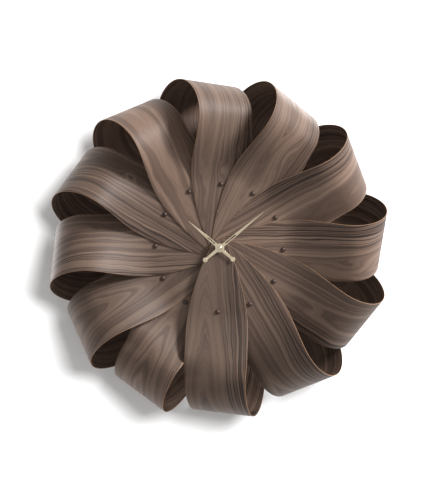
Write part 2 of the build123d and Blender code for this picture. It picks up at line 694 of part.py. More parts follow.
# ---------------------------------------------------------------- gear train
# heights inside the case, measured back from the inner face of its front wall
HOUR_GEAR = (INSIDE - 1.5, INSIDE - 0.3)
MOTION_PINION_GEAR = (INSIDE - 2.1, INSIDE - 0.3)
MOTION_GEAR = (INSIDE - 3.1, INSIDE - 2.1)
MINUTE_GEAR = (INSIDE - 3.3, INSIDE - 1.9)
CENTRE_GEAR = (INSIDE - 4.7, INSIDE - 3.9)
ARBOR_FOOT = INSIDE - 5.0
THIRD_PINION_GEAR = (INSIDE - 4.9, INSIDE - 3.7)
THIRD_GEAR = (INSIDE - 6.5, INSIDE - 5.7)
BRIDGE = (INSIDE - 6.4, INSIDE - 5.6)
SECONDS_PINION_GEAR = (INSIDE - 6.7, INSIDE - 5.5)
SECONDS_GEAR = (INSIDE - 8.1, INSIDE - 7.3)
REDUCER_PINION_GEAR = (INSIDE - 8.3, INSIDE - 7.1)
REDUCER_GEAR = (INSIDE - 9.8, INSIDE - 9.0)
ROTOR_PINION_GEAR = (INSIDE - 10.0, INSIDE - 8.8)
MAGNET = (INSIDE - 12.1, INSIDE - 10.3)
STATOR = (INSIDE - 11.6, INSIDE - 10.8)
CORE = (INSIDE - 10.8, INSIDE - 10.0)
PIVOT_FOOT = LID_FRONT - 0.9
PIVOT_SHOULDER = LID_FRONT + 0.2
PIVOT_HOLE = PIVOT_RADIUS + RUN_GAP

MINUTE_FIRST = 0.0
MOTION_FIRST = meshing_tooth(MINUTE_FIRST, MINUTE_PINION, MOTION_WHEEL, MOTION_BEARING)
MOTION_PINION_FIRST = MOTION_FIRST
HOUR_FIRST = meshing_tooth(MOTION_PINION_FIRST, MOTION_PINION, HOUR_WHEEL, MOTION_BEARING + 180)
SECONDS_FIRST = 0.0
THIRD_FIRST = meshing_tooth(SECONDS_FIRST, SECONDS_PINION, THIRD_WHEEL, THIRD_BEARING)
CENTRE_FIRST = meshing_tooth(THIRD_FIRST, THIRD_PINION, CENTRE_WHEEL, THIRD_BEARING + 180)
REDUCER_FIRST = meshing_tooth(SECONDS_FIRST, SECONDS_WHEEL, REDUCER_PINION, REDUCER_BEARING)
ROTOR_FIRST = meshing_tooth(REDUCER_FIRST, REDUCER_WHEEL, ROTOR_PINION, ROTOR_BEARING)

with BuildPart() as hour_wheel:
    gear(CENTRE, HOUR_WHEEL, MOTION_MODULE, HOUR_FIRST, WHEEL_FORM, *HOUR_GEAR)
    drum(CENTRE, TUBE_RADIUS, HOUR_GEAR[0], HOUR_HAND_LOW + HAND_THICK)
    drum(CENTRE, TUBE_BORE, HOUR_GEAR[0], HOUR_HAND_LOW + HAND_THICK, Mode.SUBTRACT)
finish(hour_wheel.part, "hour_wheel")

with BuildPart() as minute_arbor:
    gear(CENTRE, MINUTE_PINION, MOTION_MODULE, MINUTE_FIRST, PINION_FORM, *MINUTE_GEAR)
    drum(CENTRE, ARBOR_RADIUS, ARBOR_FOOT, HAND_TOP)
    drum(CENTRE, STUD_RADIUS, HAND_TOP, HAND_TOP + STUD_TALL)
    drum(CENTRE, PIVOT_HOLE, ARBOR_FOOT, ARBOR_FOOT + 1.6, Mode.SUBTRACT)
finish(minute_arbor.part, "minute_arbor")

with BuildPart() as motion_wheel:
    gear(MOTION_AXIS, MOTION_WHEEL, MOTION_MODULE, MOTION_FIRST, WHEEL_FORM, *MOTION_GEAR)
    gear(MOTION_AXIS, MOTION_PINION, MOTION_MODULE, MOTION_PINION_FIRST, PINION_FORM, *MOTION_PINION_GEAR)
    drum(MOTION_AXIS, STEM_RADIUS, LID_BACK - 1.0 - KNOB_TALL / 2, MOTION_GEAR[0])
    drum(MOTION_AXIS, PIVOT_RADIUS, MOTION_PINION_GEAR[1], INSIDE + 0.9)
finish(motion_wheel.part, "motion_wheel")

with BuildPart() as setting_knob:
    drum(MOTION_AXIS, KNOB_RADIUS, LID_BACK - 1.0 - KNOB_TALL, LID_BACK - 1.0)
    chamfer(setting_knob.edges(), 0.5)
    for groove in range(KNOB_GROOVES):
        spot = shifted(MOTION_AXIS, groove * 360 / KNOB_GROOVES, KNOB_RADIUS + 0.25)
        drum(spot, 0.5, LID_BACK - 1.0 - KNOB_TALL, LID_BACK - 1.0, Mode.SUBTRACT)
    drum(MOTION_AXIS, STEM_RADIUS, LID_BACK - 1.0 - KNOB_TALL / 2, LID_BACK - 1.0, Mode.SUBTRACT)
finish(setting_knob.part, "setting_knob")

with BuildPart() as centre_wheel:
    gear(CENTRE, CENTRE_WHEEL, THIRD_MODULE, CENTRE_FIRST, WHEEL_FORM, *CENTRE_GEAR)
    drum(CENTRE, ARBOR_RADIUS + 1.0, CENTRE_GEAR[0] - 0.2, CENTRE_GEAR[1] + 0.4)
    drum(CENTRE, ARBOR_RADIUS + RUN_GAP, CENTRE_GEAR[0] - 0.2, CENTRE_GEAR[1] + 0.4, Mode.SUBTRACT)
finish(centre_wheel.part, "centre_wheel")

with BuildPart() as third_wheel:
    gear(THIRD_AXIS, THIRD_WHEEL, SECONDS_MODULE, THIRD_FIRST, WHEEL_FORM, *THIRD_GEAR)
    gear(THIRD_AXIS, THIRD_PINION, THIRD_MODULE, THIRD_FIRST, PINION_FORM, *THIRD_PINION_GEAR)
    drum(THIRD_AXIS, 0.6, PIVOT_SHOULDER, THIRD_PINION_GEAR[0])
    drum(THIRD_AXIS, 0.4, THIRD_PINION_GEAR[1], INSIDE - 0.2)
    drum(THIRD_AXIS, PIVOT_RADIUS, PIVOT_FOOT, INSIDE + 0.9)
finish(third_wheel.part, "third_wheel")

with BuildPart() as seconds_wheel:
    gear(CENTRE, SECONDS_WHEEL, REDUCER_MODULE, SECONDS_FIRST, WHEEL_FORM, *SECONDS_GEAR)
    gear(CENTRE, SECONDS_PINION, SECONDS_MODULE, SECONDS_FIRST, PINION_FORM, *SECONDS_PINION_GEAR)
    drum(CENTRE, 0.6, PIVOT_SHOULDER, SECONDS_PINION_GEAR[0])
    drum(CENTRE, PIVOT_RADIUS, PIVOT_FOOT, ARBOR_FOOT + 1.3)
finish(seconds_wheel.part, "seconds_wheel")

with BuildPart() as reducer_wheel:
    gear(REDUCER_AXIS, REDUCER_WHEEL, ROTOR_MODULE, REDUCER_FIRST, WHEEL_FORM, *REDUCER_GEAR)
    gear(REDUCER_AXIS, REDUCER_PINION, REDUCER_MODULE, REDUCER_FIRST, PINION_FORM, *REDUCER_PINION_GEAR)
    drum(REDUCER_AXIS, 0.6, PIVOT_SHOULDER, BRIDGE[0] - 0.2)
    drum(REDUCER_AXIS, PIVOT_RADIUS, PIVOT_FOOT, BRIDGE[1])
finish(reducer_wheel.part, "reducer_wheel")

with BuildPart() as rotor:
    gear(ROTOR_AXIS, ROTOR_PINION, ROTOR_MODULE, ROTOR_FIRST, PINION_FORM, *ROTOR_PINION_GEAR)
    drum(ROTOR_AXIS, MAGNET_RADIUS, *MAGNET)
    drum(ROTOR_AXIS, 0.6, PIVOT_SHOULDER, BRIDGE[0] - 0.2)
    drum(ROTOR_AXIS, PIVOT_RADIUS, PIVOT_FOOT, BRIDGE[1])
finish(rotor.part, "rotor")

# ---------------------------------------------------------------- movement case
BRIDGE_LEFT = 4.5
BRIDGE_RIGHT = 22.0
BRIDGE_LOW = -8.5
BRIDGE_TOP = 13.0
BRIDGE_PILLARS = ((19.5, 5.0), (19.5, -5.5), (10.0, -6.5))
STATOR_BAR = (14.5, 18.0)
STATOR_ENDS = (-14.0, 24.0)
ARM_WIDTH = 3.5
STATOR_PILLARS = ((STATOR_ENDS[0] + ARM_WIDTH / 2, 16.0), (STATOR_ENDS[1] - ARM_WIDTH / 2, 16.0))
BAY = (BATTERY_BODY + 3.2, PARTITION[0] + CASE_SIDE / 2 - CASE_WALL)
BAY_CENTRE = (0.0, (PARTITION[0] - CASE_SIDE / 2 + CASE_WALL) / 2)
INNER_SIDE = CASE_SIDE - 2 * CASE_WALL

with BuildPart() as movement_front_case:
    slab(CENTRE, (CASE_SIDE, CASE_SIDE), LID_FRONT, CASE_FRONT)
    fillet(movement_front_case.edges().filter_by(Axis.Y), CASE_CORNER)
    slab(CENTRE, (INNER_SIDE, INNER_SIDE), LID_FRONT, INSIDE, Mode.SUBTRACT)
    slab((0, sum(PARTITION) / 2), (INNER_SIDE, PARTITION[1] - PARTITION[0]), LID_FRONT, INSIDE)
    drum(CENTRE, BUSH_RADIUS, INSIDE, CASE_FRONT, Mode.SUBTRACT)
    drum(THIRD_AXIS, PIVOT_HOLE, INSIDE, INSIDE + 1.0, Mode.SUBTRACT)
    drum(MOTION_AXIS, PIVOT_HOLE, INSIDE, INSIDE + 1.0, Mode.SUBTRACT)
finish(movement_front_case.part, "movement_front_case")

with BuildPart() as movement_rear_case:
    slab(CENTRE, (CASE_SIDE, CASE_SIDE), LID_BACK, LID_FRONT)
    fillet(movement_rear_case.edges().filter_by(Axis.Y), CASE_CORNER)
    slab(BAY_CENTRE, BAY, LID_BACK, LID_FRONT, Mode.SUBTRACT)
    for pillar in BRIDGE_PILLARS:
        drum(pillar, 1.5, LID_FRONT, BRIDGE[0])
    for pillar in STATOR_PILLARS:
        drum(pillar, 1.5, LID_FRONT, STATOR[0])
    drum(MOTION_AXIS, STEM_RADIUS + RUN_GAP, LID_BACK, LID_FRONT, Mode.SUBTRACT)
    for axis_point in (CENTRE, THIRD_AXIS, REDUCER_AXIS, ROTOR_AXIS):
        drum(axis_point, PIVOT_HOLE, LID_FRONT - 1.0, LID_FRONT, Mode.SUBTRACT)
finish(movement_rear_case.part, "movement_rear_case")

with BuildPart() as train_bridge:
    slab(
        ((BRIDGE_LEFT + BRIDGE_RIGHT) / 2, (BRIDGE_LOW + BRIDGE_TOP) / 2),
        (BRIDGE_RIGHT - BRIDGE_LEFT, BRIDGE_TOP - BRIDGE_LOW),
        *BRIDGE,
    )
    fillet(train_bridge.edges().filter_by(Axis.Y), 1.5)
    for axis_point in (REDUCER_AXIS, ROTOR_AXIS):
        drum(axis_point, PIVOT_HOLE, *BRIDGE, Mode.SUBTRACT)
    for pillar in BRIDGE_PILLARS:
        drum(pillar, 0.6, *BRIDGE, Mode.SUBTRACT)
finish(train_bridge.part, "train_bridge")

with BuildPart() as bridge_screws:
    for pillar in BRIDGE_PILLARS:
        drum(pillar, 0.6, *BRIDGE)
        drum(pillar, 1.1, BRIDGE[1], BRIDGE[1] + 0.6)
finish(bridge_screws.part, "bridge_screws")

# ---------------------------------------------------------------- motor
with BuildPart() as stator:
    with BuildSketch(Plane.XZ.offset(STATOR[0])):
        with Locations(((STATOR_ENDS[0] + STATOR_ENDS[1]) / 2, sum(STATOR_BAR) / 2)):
            Rectangle(STATOR_ENDS[1] - STATOR_ENDS[0], STATOR_BAR[1] - STATOR_BAR[0])
        for end, side in zip(STATOR_ENDS, (1, -1)):
            with Locations((end + side * ARM_WIDTH / 2, (STATOR_BAR[0] + COIL_LINE + 1.7) / 2)):
                Rectangle(ARM_WIDTH, COIL_LINE + 1.7 - STATOR_BAR[0])
        with Locations(ROTOR_AXIS):
            Circle(STATOR_HOLE + 1.5)
        with Locations((ROTOR_AXIS[0], (ROTOR_AXIS[1] + STATOR_BAR[1]) / 2)):
            Rectangle(2 * STATOR_HOLE + 3.0, STATOR_BAR[1] - ROTOR_AXIS[1])
        with Locations(ROTOR_AXIS):
            Circle(STATOR_HOLE, mode=Mode.SUBTRACT)
    extrude(amount=STATOR[1] - STATOR[0])
finish(stator.part, "stator")

CORE_MIDDLE = ((STATOR_ENDS[0] + STATOR_ENDS[1]) / 2, COIL_LINE)
CORE_SIZE = (STATOR_ENDS[1] - STATOR_ENDS[0], 3.0)
CORE_HEIGHT = sum(CORE) / 2
COIL_ENDS = (STATOR_ENDS[0] + ARM_WIDTH + 1.5, STATOR_ENDS[1] - ARM_WIDTH - 1.5)
FLANGE = 0.8
TUBE_OUTSIDE = 2.0
FLANGE_RADIUS = 2.65

with BuildPart() as coil_core:
    slab(CORE_MIDDLE, CORE_SIZE, *CORE)
finish(coil_core.part, "coil_core")


def coil_drum(radius, left, right, mode=Mode.ADD):
    """A round bar along the coil."""
    with BuildSketch(Plane.YZ.offset(left)) as face:
        with Locations((-CORE_HEIGHT, COIL_LINE)):
            Circle(radius)
    extrude(face.sketch, amount=right - left, mode=mode)


with BuildPart() as coil_bobbin:
    coil_drum(TUBE_OUTSIDE, COIL_ENDS[0], COIL_ENDS[1])
    coil_drum(FLANGE_RADIUS, COIL_ENDS[0], COIL_ENDS[0] + FLANGE)
    coil_drum(FLANGE_RADIUS, COIL_ENDS[1] - FLANGE, COIL_ENDS[1])
    slab(CORE_MIDDLE, CORE_SIZE, *CORE, Mode.SUBTRACT)
finish(coil_bobbin.part, "coil_bobbin")

with BuildPart() as coil_winding:
    coil_drum(FLANGE_RADIUS - 0.15, COIL_ENDS[0] + FLANGE, COIL_ENDS[1] - FLANGE)
    coil_drum(TUBE_OUTSIDE, COIL_ENDS[0] + FLANGE, COIL_ENDS[1] - FLANGE, Mode.SUBTRACT)
finish(coil_winding.part, "coil_winding")

# ---------------------------------------------------------------- electronics and battery
BOARD = (LID_FRONT + 1.0, LID_FRONT + 2.0)
BOARD_MIDDLE = (-21.6, 6.0)
BOARD_SIZE = (8.6, 30.0)

with BuildPart() as circuit_board:
    slab(BOARD_MIDDLE, BOARD_SIZE, *BOARD)
finish(circuit_board.part, "circuit_board")

with BuildPart() as controller_chip:
    drum((BOARD_MIDDLE[0], BOARD_MIDDLE[1] + 4), 2.6, BOARD[1], BOARD[1] + 1.1)
    fillet(controller_chip.edges().group_by(Axis.Y)[0], 0.8)
finish(controller_chip.part, "controller_chip")

with BuildPart() as quartz_crystal:
    with BuildSketch(Plane.XY.offset(BOARD_MIDDLE[1] - 10)):
        with Locations((BOARD_MIDDLE[0], -(BOARD[1] + 1.0))):
            Circle(1.0)
    extrude(amount=6.0)
finish(quartz_crystal.part, "quartz_crystal")

BATTERY_LEFT = -BATTERY_BODY / 2 - 0.5

with BuildPart() as battery:
    with BuildSketch(Plane.YZ.offset(BATTERY_LEFT)):
        with Locations((-BATTERY_HEIGHT, BATTERY_AXIS[1])):
            Circle(BATTERY_RADIUS)
    extrude(amount=BATTERY_BODY)
    fillet(battery.edges().group_by(Axis.X)[0], 0.5)
    fillet(battery.edges().group_by(Axis.X)[-1], 0.5)
    with BuildSketch(Plane.YZ.offset(BATTERY_LEFT + BATTERY_BODY)):
        with Locations((-BATTERY_HEIGHT, BATTERY_AXIS[1])):
            Circle(BATTERY_NUB_RADIUS)
    extrude(amount=BATTERY_NUB)
finish(battery.part, "battery")

CONTACT_SIZE = (8.0, 11.0)
CONTACT_THICK = 0.4


def contact(left, dimple, reach):
    """A strip standing at an end of the battery bay, with a boss towards the battery."""
    with BuildSketch(Plane.YZ.offset(left)) as strip:
        with Locations((-BATTERY_HEIGHT, BATTERY_AXIS[1])):
            Rectangle(*CONTACT_SIZE)
    extrude(strip.sketch, amount=CONTACT_THICK)
    with BuildSketch(Plane.YZ.offset(left + CONTACT_THICK if reach > 0 else left)) as boss:
        with Locations((-BATTERY_HEIGHT, BATTERY_AXIS[1])):
            Circle(dimple)
    extrude(boss.sketch, amount=reach)


with BuildPart() as positive_contact:
    contact(INNER_SIDE / 2 - CONTACT_THICK, 1.5, -0.3)
finish(positive_contact.part, "positive_contact")

with BuildPart() as negative_contact:
    contact(-INNER_SIDE / 2, 3.0, 0.6)
finish(negative_contact.part, "negative_contact")

print(len(made), "pieces")
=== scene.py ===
"""Looks for a round wall clock of twelve looped walnut petals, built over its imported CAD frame."""

from __future__ import annotations

import functools
import logging
import math
from dataclasses import dataclass, field
from enum import Enum
from typing import Any, Iterable, Sequence, Union

import bmesh
import bpy
import numpy as np
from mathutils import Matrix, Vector

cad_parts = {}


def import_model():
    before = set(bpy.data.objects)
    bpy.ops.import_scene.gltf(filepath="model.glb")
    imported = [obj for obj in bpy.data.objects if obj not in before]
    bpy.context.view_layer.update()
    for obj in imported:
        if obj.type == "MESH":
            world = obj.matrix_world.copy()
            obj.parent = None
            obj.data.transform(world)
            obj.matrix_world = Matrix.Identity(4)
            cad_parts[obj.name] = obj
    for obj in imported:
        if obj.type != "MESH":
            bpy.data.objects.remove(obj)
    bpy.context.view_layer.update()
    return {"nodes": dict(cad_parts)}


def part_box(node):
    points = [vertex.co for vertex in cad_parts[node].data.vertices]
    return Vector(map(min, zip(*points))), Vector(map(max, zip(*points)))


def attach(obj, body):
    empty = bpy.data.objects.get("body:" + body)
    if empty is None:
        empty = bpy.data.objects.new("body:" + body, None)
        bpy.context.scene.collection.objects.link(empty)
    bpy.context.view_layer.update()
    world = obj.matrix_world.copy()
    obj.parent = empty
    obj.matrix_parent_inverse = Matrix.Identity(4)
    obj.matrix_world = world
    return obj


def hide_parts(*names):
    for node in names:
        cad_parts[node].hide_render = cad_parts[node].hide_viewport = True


LOG = logging.getLogger("petal_clock")
MM = 0.001
PETALS = 12
PITCH = 360.0 / PETALS
Colour = tuple[float, float, float]
Point = tuple[float, float]


# ---------------------------------------------------------------- nodes as expressions
class Sock:
    """A node's output that takes part in arithmetic."""

    def __init__(self, graph: "Graph", socket: bpy.types.NodeSocket) -> None:
        """Wraps one socket.

        Args:
            graph: the graph that the socket's node belongs to.
            socket: the output socket.
        """
        self.graph = graph
        self.socket = socket

    def other(self, key: Union[str, int]) -> "Sock":
        """Another output of the same node."""
        return Sock(self.graph, find_socket(self.socket.node.outputs, key))

    def __add__(self, other: "Term") -> "Sock":
        """self + other."""
        return self.graph.math("ADD", self, other)

    __radd__ = __add__

    def __mul__(self, other: "Term") -> "Sock":
        """self * other."""
        return self.graph.math("MULTIPLY", self, other)

    __rmul__ = __mul__

    def __sub__(self, other: "Term") -> "Sock":
        """self - other."""
        return self.graph.math("SUBTRACT", self, other)

    def __rsub__(self, other: "Term") -> "Sock":
        """other - self."""
        return self.graph.math("SUBTRACT", other, self)

    def __truediv__(self, other: "Term") -> "Sock":
        """self / other."""
        return self.graph.math("DIVIDE", self, other)

    def __mod__(self, other: "Term") -> "Sock":
        """self modulo other, never negative."""
        return self.graph.math("FLOORED_MODULO", self, other)

    def __abs__(self) -> "Sock":
        """The size of self without its sign."""
        return self.graph.math("ABSOLUTE", self)

    def floor(self) -> "Sock":
        """self rounded down."""
        return self.graph.math("FLOOR", self)


Term = Union[Sock, float, int]


def find_socket(sockets: Any, key: Union[str, int]) -> bpy.types.NodeSocket:
    """Finds a socket by its place, its identifier or its name.

    Args:
        sockets: a node's inputs or outputs.
        key: the place, identifier or name.

    Returns:
        The socket; of several with one name, the one in use.
    """
    if isinstance(key, int):
        return sockets[key]
    for socket in sockets:
        if socket.identifier == key and socket.enabled:
            return socket
    for socket in sockets:
        if socket.name == key and socket.enabled:
            return socket
    raise KeyError(f"no socket {key!r} among {[s.identifier for s in sockets]}")


class Graph:
    """Builds the nodes of a shader or geometry tree."""

    def __init__(self, tree: bpy.types.NodeTree) -> None:
        """Works on one tree."""
        self.tree = tree

    def node(
        self,
        kind: str,
        settings: dict[str, Any] | None = None,
        values: dict[Union[str, int], Any] | None = None,
        output: Union[str, int] = 0,
    ) -> Sock:
        """Adds one node.

        Args:
            kind: the node's type.
            settings: its options, set first; "stops" is a ramp's list of (place, colour).
            values: numbers, colours or sockets for its inputs.
            output: the output that is wanted.

        Returns:
            The wanted output.
        """
        made = self.tree.nodes.new(kind)
        for name, value in (settings or {}).items():
            if name == "stops":
                self._set_stops(made.color_ramp, value)
            else:
                setattr(made, name, value)
        for key, value in (values or {}).items():
            self._feed(find_socket(made.inputs, key), value)
        if not made.outputs:
            return Sock(self, made.inputs[0])
        return Sock(self, find_socket(made.outputs, output))

    def _feed(self, socket: bpy.types.NodeSocket, value: Any) -> None:
        """Links a socket or sets its value.

        Args:
            socket: the input to feed.
            value: a socket, a number, a colour or a vector.
        """
        if isinstance(value, Sock):
            self.tree.links.new(value.socket, socket)
        elif socket.type == "RGBA" and len(value) == 3:
            socket.default_value = (*value, 1.0)
        else:
            socket.default_value = value

    def _set_stops(self, ramp: Any, stops: Sequence[tuple[float, Colour]]) -> None:
        """Gives a colour ramp its stops.

        Args:
            ramp: the node's ramp.
            stops: (place, colour) pairs in order.
        """
        while len(ramp.elements) < len(stops):
            ramp.elements.new(0.5)
        for element, (place, colour) in zip(ramp.elements, stops):
            element.position = place
            element.color = (*colour, 1.0)

    def math(self, operation: str, *values: Term) -> Sock:
        """A Math node on numbers."""
        return self.node("ShaderNodeMath", {"operation": operation}, dict(enumerate(values)))

    def vector(self, operation: str, *values: Any) -> Sock:
        """A Vector Math node on vectors."""
        return self.node("ShaderNodeVectorMath", {"operation": operation}, dict(enumerate(values)))

    def scaled(self, colour: Any, share: Term) -> Sock:
        """A colour or vector times a number."""
        return self.node("ShaderNodeVectorMath", {"operation": "SCALE"}, {0: colour, "Scale": share})

    def joined(self, x: Term, y: Term, z: Term = 0.0) -> Sock:
        """A vector from three numbers."""
        return self.node("ShaderNodeCombineXYZ", None, {0: x, 1: y, 2: z})

    def split(self, vector: Sock) -> tuple[Sock, Sock, Sock]:
        """The three numbers of a vector."""
        parts = self.node("ShaderNodeSeparateXYZ", None, {0: vector})
        return parts, parts.other(1), parts.other(2)

    def blend(self, share: Term, first: Any, second: Any) -> Sock:
        """Mixes two colours.

        Args:
            share: how much of the second.
            first: the colour at 0.
            second: the colour at 1.

        Returns:
            The mixed colour.
        """
        values = {"Factor_Float": share, "A_Color": first, "B_Color": second}
        return self.node("ShaderNodeMix", {"data_type": "RGBA"}, values, "Result_Color")

    def ramp(self, value: Sock, stops: Sequence[tuple[float, Colour]]) -> Sock:
        """A colour looked up along a ramp."""
        return self.node("ShaderNodeValToRGB", {"stops": stops}, {0: value})

    def step(self, value: Sock, low: float, high: float) -> Sock:
        """0 under low, 1 over high, and smooth between."""
        values = {"Value": value, "From Min": low, "From Max": high}
        return self.node("ShaderNodeMapRange", {"interpolation_type": "SMOOTHSTEP"}, values, "Result")

    def noise(self, vector: Any, detail: float = 2.0, rough: float = 0.5) -> Sock:
        """Noise about 0.5 on a vector."""
        values = {"Vector": vector, "Scale": 1.0, "Detail": detail, "Roughness": rough}
        return self.node("ShaderNodeTexNoise", None, values)

    def object_place(self) -> Sock:
        """Where the shaded point is on its own piece."""
        return self.node("ShaderNodeTexCoord", None, None, "Object")


# ---------------------------------------------------------------- finishes
@dataclass
class Paint:
    """What a finish feeds to the surface: what varies over it, and numbers that don't, in uniform."""

    colour: Any
    roughness: Any = 0.5
    metallic: Any = 0.0
    relief: Sock | None = None
    relief_depth: float = 0.0001
    relief_strength: float = 0.5
    uniform: dict[str, float] = field(default_factory=dict)


@dataclass(frozen=True)
class Finish:
    """One material of the clock."""

    name: str

    def paint(self, graph: Graph) -> Paint:
        """Builds the nodes of the finish; each kind of finish has its own.

        Args:
            graph: the material's graph.

        Returns:
            What the finish feeds to the surface.
        """
        raise NotImplementedError

    @functools.cache
    def material(self) -> bpy.types.Material:
        """The Blender material, made once.

        Returns:
            The material with its nodes.
        """
        made = bpy.data.materials.new(self.name)
        made.use_nodes = True
        made.node_tree.nodes.clear()
        graph = Graph(made.node_tree)
        paint = self.paint(graph)
        values: dict[Union[str, int], Any] = {
            "Base Color": paint.colour,
            "Roughness": paint.roughness,
            "Metallic": paint.metallic,
            **paint.uniform,
        }
        if paint.relief is not None:
            sizes = {"Distance": paint.relief_depth, "Strength": paint.relief_strength}
            bump = {"Height": paint.relief, **sizes}
            values["Normal"] = graph.node("ShaderNodeBump", None, bump, "Normal")
        shader = graph.node("ShaderNodeBsdfPrincipled", None, values)
        graph.node("ShaderNodeOutputMaterial", None, {"Surface": shader})
        return made


@dataclass(frozen=True)
class Knot:
    """A place where the rings swell: where it lies on the ribbon, and its size, in metres."""

    along: float
    across: float
    length: float
    width: float
    swell: float


@dataclass(frozen=True)
class Walnut(Finish):
    """Rotary-sliced walnut veneer on a birch core, with its rings cut as cones.

    heart is where the cones' middle lies across the ribbon, depth how far under the face it is, and
    taper how fast the rings widen along it. From lines_from to lines_to the dense dark lines come in.
    """

    seed: float = 0.0
    heart: float = 0.0
    depth: float = 0.03
    taper: float = 0.05
    lines_from: float = 0.02
    lines_to: float = 0.06
    lines: float = 0.8
    # brightness factor of the veneer: partly its own tone, partly painted light and shade, set petal by
    # petal for how the key light falls on it
    tone_and_painted_light: float = 1.0
    knots: tuple[Knot, ...] = ()

    PALE = (0.232, 0.158, 0.118)
    MIDDLE = (0.152, 0.098, 0.072)
    DARK = (0.060, 0.036, 0.027)
    LINE = (0.028, 0.016, 0.012)
    PLY_PALE = (0.42, 0.235, 0.130)
    PLY_DARK = (0.16, 0.088, 0.052)

    def paint(self, graph: Graph) -> Paint:
        """Grain in the ribbon's own coordinates, and the core's plies on its edge.

        Args:
            graph: the material's graph.

        Returns:
            What the finish feeds to the surface.
        """
        u, v, _ = graph.split(graph.node("ShaderNodeUVMap", {"uv_map": "Grain"}))
        edge, level, _ = graph.split(graph.node("ShaderNodeUVMap", {"uv_map": "Rim"}))
        slow = graph.noise(graph.joined(u * 5.0, v * 22.0, self.seed), 2.0)
        fine = graph.noise(graph.joined(u * 16.0, v * 90.0, self.seed + 3.0), 2.0)
        offset = v - self.heart
        radius = graph.math("SQRT", offset * offset + self.depth**2)
        rings = radius - u * self.taper + (slow - 0.5) * 0.022 + (fine - 0.5) * 0.0035
        for knot in self.knots:
            far_u = (u - knot.along) / knot.length
            far_v = (v - knot.across) / knot.width
            rings = rings + knot.swell * graph.math("EXPONENT", (far_u * far_u + far_v * far_v) * -1.0)
        ring_place = graph.joined(rings * 135.0, self.seed * 7.0)
        broad = graph.noise(ring_place, 3.0, 0.62)
        thin = graph.noise(graph.joined(rings * 420.0, u * 1.5, self.seed), 2.0, 0.55)
        stops = [(0.30, self.PALE), (0.47, self.MIDDLE), (0.58, self.DARK), (0.74, self.MIDDLE)]
        body = graph.blend(0.70, self.MIDDLE, graph.ramp(broad, stops))
        side = graph.step(v + (slow - 0.5) * 0.02, *sorted((self.lines_from, self.lines_to)))
        if self.lines_to < self.lines_from:
            side = 1.0 - side
        dense = graph.step(thin, 0.49, 0.62) * (side * self.lines + 0.16)
        body = graph.blend(dense, body, self.LINE)
        fibre = graph.noise(graph.joined(u * 30.0, v * 1100.0, self.seed), 2.0, 0.6)
        specks = graph.noise(graph.joined(u * 95.0, v * 3200.0, self.seed + 9.0), 1.0)
        pores = graph.step(specks, 0.64, 0.74)
        cloud = graph.noise(graph.joined(u * 3.0, v * 9.0, self.seed + 5.0), 2.0)
        # the last factor is the petal's brightness, which carries painted light and shade as well as the
        # veneer's own tone
        grain_and_painted_light = (0.80 + fibre * 0.40) * (1.0 - pores * 0.38) * (0.78 + cloud * 0.44) * self.tone_and_painted_light
        body = graph.scaled(body, grain_and_painted_light)
        plies = graph.step(abs(level), 0.24, 0.36)
        ply = graph.scaled(graph.blend(plies, self.PLY_DARK, self.PLY_PALE), 0.8 + fibre * 0.4)
        colour = graph.blend(graph.step(edge, 0.25, 0.75), body, ply)
        return Paint(
            colour,
            roughness=0.50 + fibre * 0.12 + pores * 0.12,
            relief=fibre * 0.5 - pores,
            relief_depth=0.00008,
            uniform={"Specular IOR Level": 0.28},
        )


@dataclass(frozen=True)
class Plywood(Finish):
    """Bare birch ply: grain on its faces, plies on its edges, by where the point lies in the board."""

    ply: float = 1.5 * MM
    pale: Colour = (0.42, 0.29, 0.18)
    dark: Colour = (0.22, 0.135, 0.08)

    def paint(self, graph: Graph) -> Paint:
        """Streaks along the board's grain and a band for each ply.

        Args:
            graph: the material's graph.

        Returns:
            What the finish feeds to the surface.
        """
        x, y, z = graph.split(graph.object_place())
        _, facing, _ = graph.split(graph.node("ShaderNodeNewGeometry", None, None, "Normal"))
        streak = graph.noise(graph.joined(x * 260.0, y * 60.0, z * 9.0), 3.0, 0.6)
        rings = graph.noise(graph.joined(x * 22.0, y * 5.0, z * 3.0), 3.0, 0.5)
        face = graph.blend(graph.step(rings * 0.6 + streak * 0.4, 0.38, 0.62), self.dark, self.pale)
        band = graph.step(abs((y / (2 * self.ply)) % 1.0 - 0.5), 0.22, 0.28)
        edges = graph.blend(band, self.dark, self.pale)
        flat = graph.step(abs(facing), 0.6, 0.8)
        colour = graph.scaled(graph.blend(flat, edges, face), 0.75 + streak * 0.5)
        return Paint(colour, roughness=0.55 + streak * 0.15, relief=streak, relief_depth=0.00015)


class Lay(Enum):
    """Which way the fine scratches of a metal run."""

    ALONG = "along the piece"
    ROUND = "round its axis"
    NONE = "no direction"


